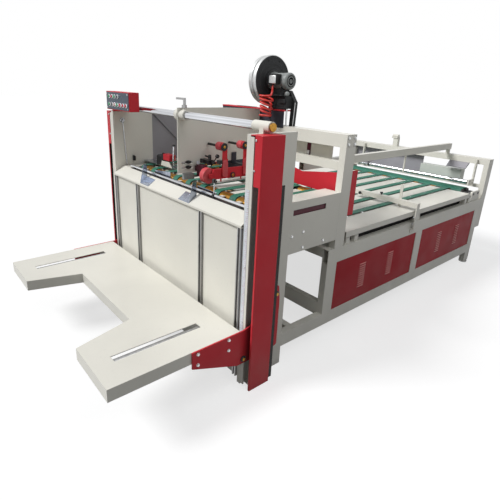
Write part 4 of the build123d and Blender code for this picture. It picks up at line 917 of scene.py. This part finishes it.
head.done(LOOKS["red_paint"], "red_paint", bevel=5.0)
wedge = Piece("gauge_wedge")
wedge.loft([[(x, y, z) for x, z in WEDGE] for y in WEDGE_YS])
wedge.done(LOOKS["cream_paint"], "cream_paint", bevel=1.0)
slant = Piece("gauge_rod")
slant.rod(SLANT_LOW, SLANT_TOP, SLANT_D)
slant.done(LOOKS["chrome"], "chrome")
slant_knob = Piece("gauge_rod_knob")
slant_knob.turned(SLANT_KNOB_PLACE, UP, SLANT_KNOB)
slant_knob.done(LOOKS["black_plastic"], "black_plastic")

# Left wall's inner face: ring, thin rod and clip
RING_PLACE = (-740, 69, 1317)
RING = ((0, 15), (3, 17), (6, 16), (7, 12), (5, 8), (2, 7))
RING_ROD_TOP = (-731, 69, 1316)
RING_ROD_LOW = (-731, 90, 982)
RING_ROD_D = 6
CLIP_OUTLINE = ((139, 1016), (155, 1016), (155, 1048), (150, 1054), (139, 1054))
CLIP_X = (-740, -716)
ring = Piece("wall_ring")
ring.turned(RING_PLACE, OUT_X, RING)
ring.rod(RING_ROD_TOP, RING_ROD_LOW, RING_ROD_D)
ring.done(LOOKS["stainless"], "stainless")
clip = Piece("wall_clip")
clip.prism(CLIP_OUTLINE, *CLIP_X)
clip.done(LOOKS["black_steel"], "black_steel", bevel=1.0)

# Partition: grip knobs on its slots, screws, and the cast foot under its front tab
PART_LEFT = 17
PART_RIGHT = 23
TRACK_ZS = (1092, 1124)
# each oval: its middle in y, and half its length and height
TRACK_OVAL = (138, 42, 5)
TRACK_T = 1.2
GRIP_OVAL = (143, 21, 10)
GRIP_T = 11
GRIP_KNOB = 15
GRIP_STEM = 0.5
TRACK_SCREW = 9
TRACK_SCREW_YS = (101, 174)
FOOT_OUTLINE = ((109, 1015), (184, 1015), (184, 1050), (170, 1055.7), (109, 1055.7))
FOOT_X = (PART_LEFT - 8, PART_RIGHT + 12)
FOOT_SCREW = ((FOOT_X[1], 134, 1034), OUT_X, 16)


def oval(y, z, half_y, half_z, sides=24):
    """Rounded slot outline that narrows to its ends."""
    made = []
    for n in range(sides):
        a = 2 * math.pi * n / sides
        high = math.sin(a) * abs(math.sin(a)) ** 0.2
        made.append((y + half_y * math.cos(a), z + half_z * high))
    return made


grips = Piece("partition_grips", "partition")
runners = Piece("partition_slots", "partition")
for z in TRACK_ZS:
    grips.prism(oval(GRIP_OVAL[0], z, *GRIP_OVAL[1:]), PART_RIGHT, PART_RIGHT + GRIP_T)
    grips.knob((PART_RIGHT + GRIP_T, GRIP_OVAL[0], z), OUT_X, GRIP_KNOB, GRIP_STEM)
    runners.prism(oval(TRACK_OVAL[0], z, *TRACK_OVAL[1:]), PART_RIGHT, PART_RIGHT + TRACK_T)
    for y in TRACK_SCREW_YS:
        runners.screw((PART_RIGHT + 1, y, z), OUT_X, TRACK_SCREW)
grips.done(LOOKS["black_plastic"], "black_plastic")
runners.done(PALE_METAL, "bare_steel")
foot = Piece("partition_foot", "partition")
foot.prism(FOOT_OUTLINE, *FOOT_X)
foot.screw(*FOOT_SCREW)
foot.done(CAST, "bare_steel", bevel=2.0)

# Glue pot: open block with a lip, on its arm, and the white tag plate; a dark strip under the partition
# as painted shade in the gap
POT = ((50, 118), (191, 225), (1036, 1104))
POT_LIP = ((47, 121), (188, 228), (1104, 1109))
POT_ARM = ((PART_RIGHT, 50), (196, 218), (1064, 1096))
TAG = ((46, 49), (192, 214), (1109, 1129))
PARTITION_GAP_SHADE = ((18.5, 21.5), (452, 716), (1058, 1112))
pot = Piece("glue_pot_body", "partition")
pot.box(*POT)
pot.box(*POT_LIP)
pot.box(*POT_ARM)
pot.done(LOOKS["dark_red_paint"], "dark_red_paint", ["glue_pot"], 2.0)
tag = Piece("pot_plate", "partition")
tag.box(*TAG)
tag.done(LOOKS["white_strip"], "white_strip", bevel=0.8)
# Painted shade: a dark strip filling the gap under the partition
gap_shade = Piece("partition_gap_shade", "partition")
gap_shade.box(*PARTITION_GAP_SHADE)
gap_shade.done(SLATE, "grey_paint", bevel=0.8)

# Press unit: bearings of the arms' rollers and of the wheel, and the skid's bright strip
ARM_X = 195.3
ROLLER_BEARING_Z = 1230
ROLLER_BEARING_R = 24.6
ROLLER_BEARING_YS = (294, 463)
BOSS = (372.5, 1048)
BOSS_X = 190.3
BOSS_BEARING_R = 18.6
CENTRE_SEAT = 4
BEARING_CENTRE = ((0, 8.5), (2.5, 8.5), (3.5, 7), (3.5, 2.5), (1.5, 2))
SKID = ((174.6, 183.4), (251.6, 486.4), (1005.7, 1012.3))
bearing_places = [(ARM_X, y, ROLLER_BEARING_Z, ROLLER_BEARING_R) for y in ROLLER_BEARING_YS]
bearing_places.append((BOSS_X, *BOSS, BOSS_BEARING_R))
bearings = Piece("press_bearings", "partition")
centres = Piece("press_bearing_centres", "partition")
for x, y, z, r in bearing_places:
    ring_shape = ((0, r), (4.5, r), (5.5, r - 1.5), (5.5, r - 6), (4.4, r - 7), (4.4, 8))
    bearings.turned((x, y, z), OUT_X, ring_shape, sides=36)
    centres.turned((x + CENTRE_SEAT, y, z), OUT_X, BEARING_CENTRE, sides=24)
bearings.done(LOOKS["black_steel"], "black_steel")
centres.done(LOOKS["brass"], "brass")
skid = Piece("skid_strip", "partition")
skid.box(*SKID)
skid.done(PALE_METAL, "stainless", bevel=0.6)

# Clamp that holds the glue pot: two rods, a ball collar, a block, two knobs and a plug
CLAMP_ROD = ((172, 262, 1176), (99, 262, 1090), 7)
CLAMP_BAR = ((60, 250, 1160), (118, 250, 1156), 11)
CLAMP_BALL_PLACE = (164, 262, 1164)
CLAMP_BALL_WAY = (0.64, 0, 0.76)
CLAMP_BALL = ((0, 5), (2, 10), (6, 13), (14, 13), (19, 9), (20, 3))
CLAMP_BLOCK = ((180, 212), (250, 272), (1128, 1152))
CLAMP_KNOBS = (((99, 256, 1156), UP, 20, 3), ((60, 236, 1126), FEED_WAY, 16, 5))
CLAMP_PLUG_PLACE = (124, 262, 1126)
CLAMP_PLUG = ((0, 9), (14, 9), (16, 7.2), (24, 7.2))
clamp = Piece("pot_clamp_rod", "partition")
clamp.rod(*CLAMP_ROD)
clamp.rod(*CLAMP_BAR)
clamp.turned(CLAMP_BALL_PLACE, CLAMP_BALL_WAY, CLAMP_BALL)
clamp.box(*CLAMP_BLOCK)
clamp.done(LOOKS["black_steel"], "black_steel", bevel=1.0)
clamp_knobs = Piece("pot_clamp_knobs", "partition")
for knob in CLAMP_KNOBS:
    clamp_knobs.knob(*knob)
clamp_knobs.turned(CLAMP_PLUG_PLACE, OUT_X, CLAMP_PLUG)
clamp_knobs.done(LOOKS["black_plastic"], "black_plastic")

# Press bar with its boss and posts, the dark bracket to the partition, and plates of lighter red on the
# arms' lower faces as painted highlight
BAR_X = (173, 185)
BAR_LOW = 1030
BAR_TOP = 1096
BAR_OUTLINE = ((194, 1040), (230, BAR_LOW), (543, BAR_LOW), (543, BAR_TOP), (226, BAR_TOP), (216, 1068),
               (194, 1068))
BOSS_D = 36
BOSS_T = 10
WHEEL_PIN = ((119, 206, 1054), (173, 206, 1054), 14)
POST_X = (177, 181)
POST_YS = (282, 446)
POST_W = 10
POST_ZS = (1012, BAR_LOW)
BRACKET_ARM = ((PART_RIGHT, BAR_X[0]), (493, 533), (1084, BAR_TOP))
BRACKET_LEG = ((PART_RIGHT, 29), (493, 533), (BAR_TOP, 1160))
ARM_HIGHLIGHT_X = (195.4, 199.4)
ARM_HIGHLIGHT_YS = (286, 455)
ARM_HIGHLIGHT = ((0, 1050), (26, 1041.5), (40, 1048), (40, 1132), (26, 1152), (0, 1146))
bar = Piece("press_bar", "partition")
bar.prism(BAR_OUTLINE, *BAR_X)
bar.rod((BAR_X[1], *BOSS), (BAR_X[1] + BOSS_T, *BOSS), BOSS_D, sides=28)
bar.rod(*WHEEL_PIN)
for y in POST_YS:
    bar.box(POST_X, (y, y + POST_W), POST_ZS)
bar.done(LOOKS["red_paint"], "red_paint", ["press_beam"], 1.2)
bracket = Piece("press_bracket", "partition")
bracket.box(*BRACKET_ARM)
bracket.box(*BRACKET_LEG)
bracket.done(SLATE, "grey_paint", bevel=1.0)
# Painted highlight: plates in a lighter red on the arms' lower faces
arm_highlights = Piece("arm_painted_highlights", "partition")
for y in ARM_HIGHLIGHT_YS:
    arm_highlights.prism([(y + reach, z) for reach, z in ARM_HIGHLIGHT], *ARM_HIGHLIGHT_X)
arm_highlights.done(LOOKS["red_rubber"], "red_paint", bevel=1.5)

# Cross guide's grips, the red strip on the hanger and its clip, collars of the delivery roller
CROSS_GRIPS = (((470, 1700, 800), UP, 24, 8), ((294, 1680, 782), FEED_WAY, 24, 8))
HANGER_STRIP = ((394, 425), (829, 832.2), (1131, 1253))
HANGER_CLIP = ((400, 419), (823, 829), (1180, 1206))
ROLLER_Y = 2905
ROLLER_Z = 795
LEFT_COLLAR_X = -446
LEFT_COLLAR = ((0, 20), (2, 24), (18, 24), (20, 21))
RIGHT_COLLAR_X = 640.5
RIGHT_COLLAR = ((0, 21), (1, 22), (8, 22), (9, 20))
cross_grips = Piece("cross_guide_grips")
for knob in CROSS_GRIPS:
    cross_grips.knob(*knob)
cross_grips.done(LOOKS["black_plastic"], "black_plastic")
strip = Piece("hanger_strip")
strip.box(*HANGER_STRIP)
strip.done(LOOKS["dark_red_paint"], "dark_red_paint", bevel=0.8)
strip_clip = Piece("hanger_clip")
strip_clip.box(*HANGER_CLIP)
strip_clip.done(PALE_METAL, "bare_steel", bevel=1.5)
roll_caps = Piece("delivery_roller_collars", "roller_body")
roll_caps.turned((LEFT_COLLAR_X, ROLLER_Y, ROLLER_Z), OUT_X, LEFT_COLLAR)
roll_caps.turned((RIGHT_COLLAR_X, ROLLER_Y, ROLLER_Z), OUT_X, RIGHT_COLLAR)
roll_caps.done(LOOKS["black_plastic"], "black_plastic")

# Blower: drum casing with a dished face, back boss and hub, its foot, two bright bands and screws
FAN_Y = 767
FAN_Z = 1630
DRUM_ROUND = 80
DRUM_BACK = 30
DRUM_FACE = 102
DRUM_SHELL = ((0, 60), (0, 148), (70, 148), (70, 153), (72, 151), (72, 140), (70.5, 138),
              (70.5, 120), (72, 118), (72, 100), (70.5, 98), (70.5, 82), (72, 80), (72, 60))
BACK_BOSS_X = 16
BACK_BOSS = ((0, 52), (0, 58), (3, 60), (14, 60))
FACE_HUB = ((0, 66), (6, 66), (9, 62), (9, 50))
NECK = ((DRUM_BACK, DRUM_FACE), (807, 919), (1440, 1560))
NECK_FLANGE = ((20, 112), (797, 929), (1434, 1440))
BACK_BAND = ((0, 149), (0, 154), (3, 156), (28, 156), (31, 154), (31, 149))
FACE_BAND = ((0, 149), (0, 156), (4, 158), (26, 158), (31, 155), (31, 149))
FACE_BAND_X = 68
FACE_SCREWS = 8
FACE_SCREW_R = 130
FACE_SCREW = 8


def on_fan(x, z=FAN_Z):
    """A place on the fan's axis, or level with it."""
    return (x, FAN_Y, z)


casing = Piece("blower_casing")
casing.turned(on_fan(DRUM_BACK), OUT_X, DRUM_SHELL, DRUM_ROUND)
casing.turned(on_fan(BACK_BOSS_X), OUT_X, BACK_BOSS, sides=40)
casing.turned(on_fan(DRUM_FACE), OUT_X, FACE_HUB, sides=48)
casing.box(*NECK)
casing.box(*NECK_FLANGE)
casing.done(LOOKS["grey_paint"], "grey_paint", ["blower"])
bands = Piece("blower_bands")
bands.turned(on_fan(DRUM_BACK), OUT_X, BACK_BAND, DRUM_ROUND)
bands.turned(on_fan(FACE_BAND_X), OUT_X, FACE_BAND, DRUM_ROUND)
bands.done(PALE_METAL, "bare_steel")
face_bolts = Piece("blower_bolts")
for n in range(FACE_SCREWS):
    a = (2 * n + 1) * math.pi / FACE_SCREWS
    spot = (FAN_Y + FACE_SCREW_R * math.cos(a), FAN_Z + FACE_SCREW_R * math.sin(a))
    face_bolts.screw((DRUM_FACE - 1, *spot), OUT_X, FACE_SCREW)
face_bolts.done(LOOKS["grey_paint"], "grey_paint")

# Motor: finned body, ringed cowl with near-black rings as painted shade in its vents, terminal box with
# its gland, feet and a fitting
MOTOR_Z = 1626
MOTOR_START = 110
MOTOR_BODY = ((0, 58), (8, 58), (10, 50), (120, 50), (124, 52.5), (130, 52.5))
FINS = 20
FIN_X = (128, 224)
FIN_D = 3.2
FIN_R = 49
COWL_START = 236
COWL = ((0, 51), (0, 53), (20, 53), (27, 49), (31, 42), (31, 38), (27, 37), (27, 31),
        (31, 30), (31, 24), (27, 23), (27, 14), (31, 13), (31, 6), (28, 5))
VENT_X = 263.4
VENT_T = 0.3
VENTS = ((31.5, 36.5), (14.5, 22.5))
TERMINAL = ((136, 216), (682, 727), (1606, 1668))
GLAND_PLACE = (174, 697, 1608)
GLAND = ((0, 13), (4, 13), (5, 10), (8, 9))
LID = ((158, 216), (671, 682), (1608, 1660))
MOTOR_SOLE = ((130, 232), (722, 812), (1534.3, 1542))
MOTOR_LEG_XS = (136, 214)
MOTOR_LEG = ((730, 804), (1540, 1596))
LEG_T = 10
FITTING_PLACE = (262, 752, 1548)
FITTING_WAY = (0.4, -0.9, 0.1)
FITTING = ((0, 9), (10, 9), (12, 14), (22, 14), (25, 10), (26, 4))
FITTING_ARM = ((232, 262), (748, 762), (1538, 1556))
motor = Piece("motor_body")
motor.turned(on_fan(MOTOR_START, MOTOR_Z), OUT_X, MOTOR_BODY, sides=64)
for n in range(FINS):
    a = 2 * math.pi * n / FINS
    spot = (FAN_Y + FIN_R * math.cos(a), MOTOR_Z + FIN_R * math.sin(a))
    motor.rod((FIN_X[0], *spot), (FIN_X[1], *spot), FIN_D, sides=8)
motor.done(CAST, "grey_paint")
cowl = Piece("motor_cowl")
cowl.turned(on_fan(COWL_START, MOTOR_Z), OUT_X, COWL, sides=56)
cowl.done(CAST, "grey_paint")
# Painted shade: flat near-black rings where the cowl's vents are
vent_shades = Piece("cowl_vent_shades")
for r0, r1 in VENTS:
    flat_ring = ((-VENT_T, r0), (-VENT_T, r1), (VENT_T, r1), (VENT_T, r0))
    vent_shades.turned(on_fan(VENT_X, MOTOR_Z), OUT_X, flat_ring, sides=48)
vent_shades.done(SHADE_BLACK, "black_steel")
terminal = Piece("terminal_base")
terminal.box(*TERMINAL)
terminal.turned(GLAND_PLACE, DOWN, GLAND, sides=24)
terminal.done(LOOKS["black_steel"], "grey_paint", bevel=3.0)
lid = Piece("terminal_lid")
lid.box(*LID)
lid.done(PALE_METAL, "grey_paint", bevel=5.0)
feet = Piece("motor_feet")
feet.box(*MOTOR_SOLE)
for x in MOTOR_LEG_XS:
    feet.box((x, x + LEG_T), *MOTOR_LEG)
feet.done(LOOKS["grey_paint"], "grey_paint", bevel=1.5)
fitting = Piece("stand_fitting")
fitting.turned(FITTING_PLACE, FITTING_WAY, FITTING, sides=24)
fitting.box(*FITTING_ARM)
fitting.done(CAST, "bare_steel")

# Stand: blocks on the gantry's beam, slanted brace with its bright edge, drain pipe
GANTRY_Y = 742
GANTRY_TOP = 1345
STAND_BLOCKS = (((136, 256), (748, 828), (1464, 1534)), ((158, 168), (744.5, 748), (1466, 1534)),
                ((120, 262), (GANTRY_Y, 830), (1456, 1464)), ((196, 250), (738, 748), (1490, 1516)))
BRACE = ((204, 1534), (222, 1571), (233, 1567), (286, 1497), (277, GANTRY_TOP), (246, GANTRY_TOP),
         (252, 1488), (218, 1534))
BRACE_YS = (796, 826)
BRACE_EDGE = ((286, 1497), (288.5, 1497), (279.5, GANTRY_TOP), (277, GANTRY_TOP))
EDGE_YS = (796, 800)
PIPE = ((254, 760, GANTRY_TOP), (252, 760, 1456), 11)
stand = Piece("blower_stand_body")
for block in STAND_BLOCKS:
    stand.box(*block)
stand.loft([[(x, y, z) for x, z in BRACE] for y in BRACE_YS])
stand.done(LOOKS["grey_paint"], "grey_paint", ["blower_stand"], 2.0)
brace_edge = Piece("brace_edge")
brace_edge.loft([[(x, y, z) for x, z in BRACE_EDGE] for y in EDGE_YS])
brace_edge.done(PALE_METAL, "bare_steel")
pipe = Piece("drain_pipe")
pipe.rod(*PIPE)
pipe.done(PALE_METAL, "bare_steel")

# Suction box: body, front sheet with the cable's gland, red rim, and a near-black oval as painted shade
# in its mouth
BOX_LEFT = -402
BOX_BODY = ((BOX_LEFT, 112), (GANTRY_Y, 842), (GANTRY_TOP, 1434))
BOX_SHEET = ((BOX_LEFT, 250), (GANTRY_Y - 2, GANTRY_Y), (1333, 1440))
BOX_GLAND_PLACE = (113.5, 740, 1404)
BOX_GLAND = ((0, 12), (8, 12), (9, 9.5), (12, 8.5))
RIM = ((BOX_LEFT, 254), (GANTRY_Y - 5, GANTRY_Y + 52), (1440, 1449))
MOUTH = (-152, 768)
MOUTH_HALF = (110, 18)
MOUTH_SIDES = 32
MOUTH_ZS = (1448.5, 1451)
box = Piece("suction_box")
box.box(*BOX_BODY)
box.box(*BOX_SHEET)
box.turned(BOX_GLAND_PLACE, FEED_WAY, BOX_GLAND, sides=24)
box.done(SLATE, "grey_paint", bevel=1.0)
rim = Piece("suction_box_rim")
rim.box(*RIM)
rim.done(LOOKS["red_paint"], "red_paint", ["air_box_lid"], 1.0)
# Painted shade: a flat near-black oval where the suction mouth opens
mouth_shade = Piece("suction_mouth_shade")
outline = []
for n in range(MOUTH_SIDES):
    a = 2 * math.pi * n / MOUTH_SIDES
    outline.append((MOUTH[0] + MOUTH_HALF[0] * math.cos(a), MOUTH[1] + MOUTH_HALF[1] * math.sin(a)))
mouth_shade.loft([[(x, y, z) for x, y in outline] for z in MOUTH_ZS])
mouth_shade.done(SHADE_BLACK, "black_steel")

bpy.context.view_layer.update()
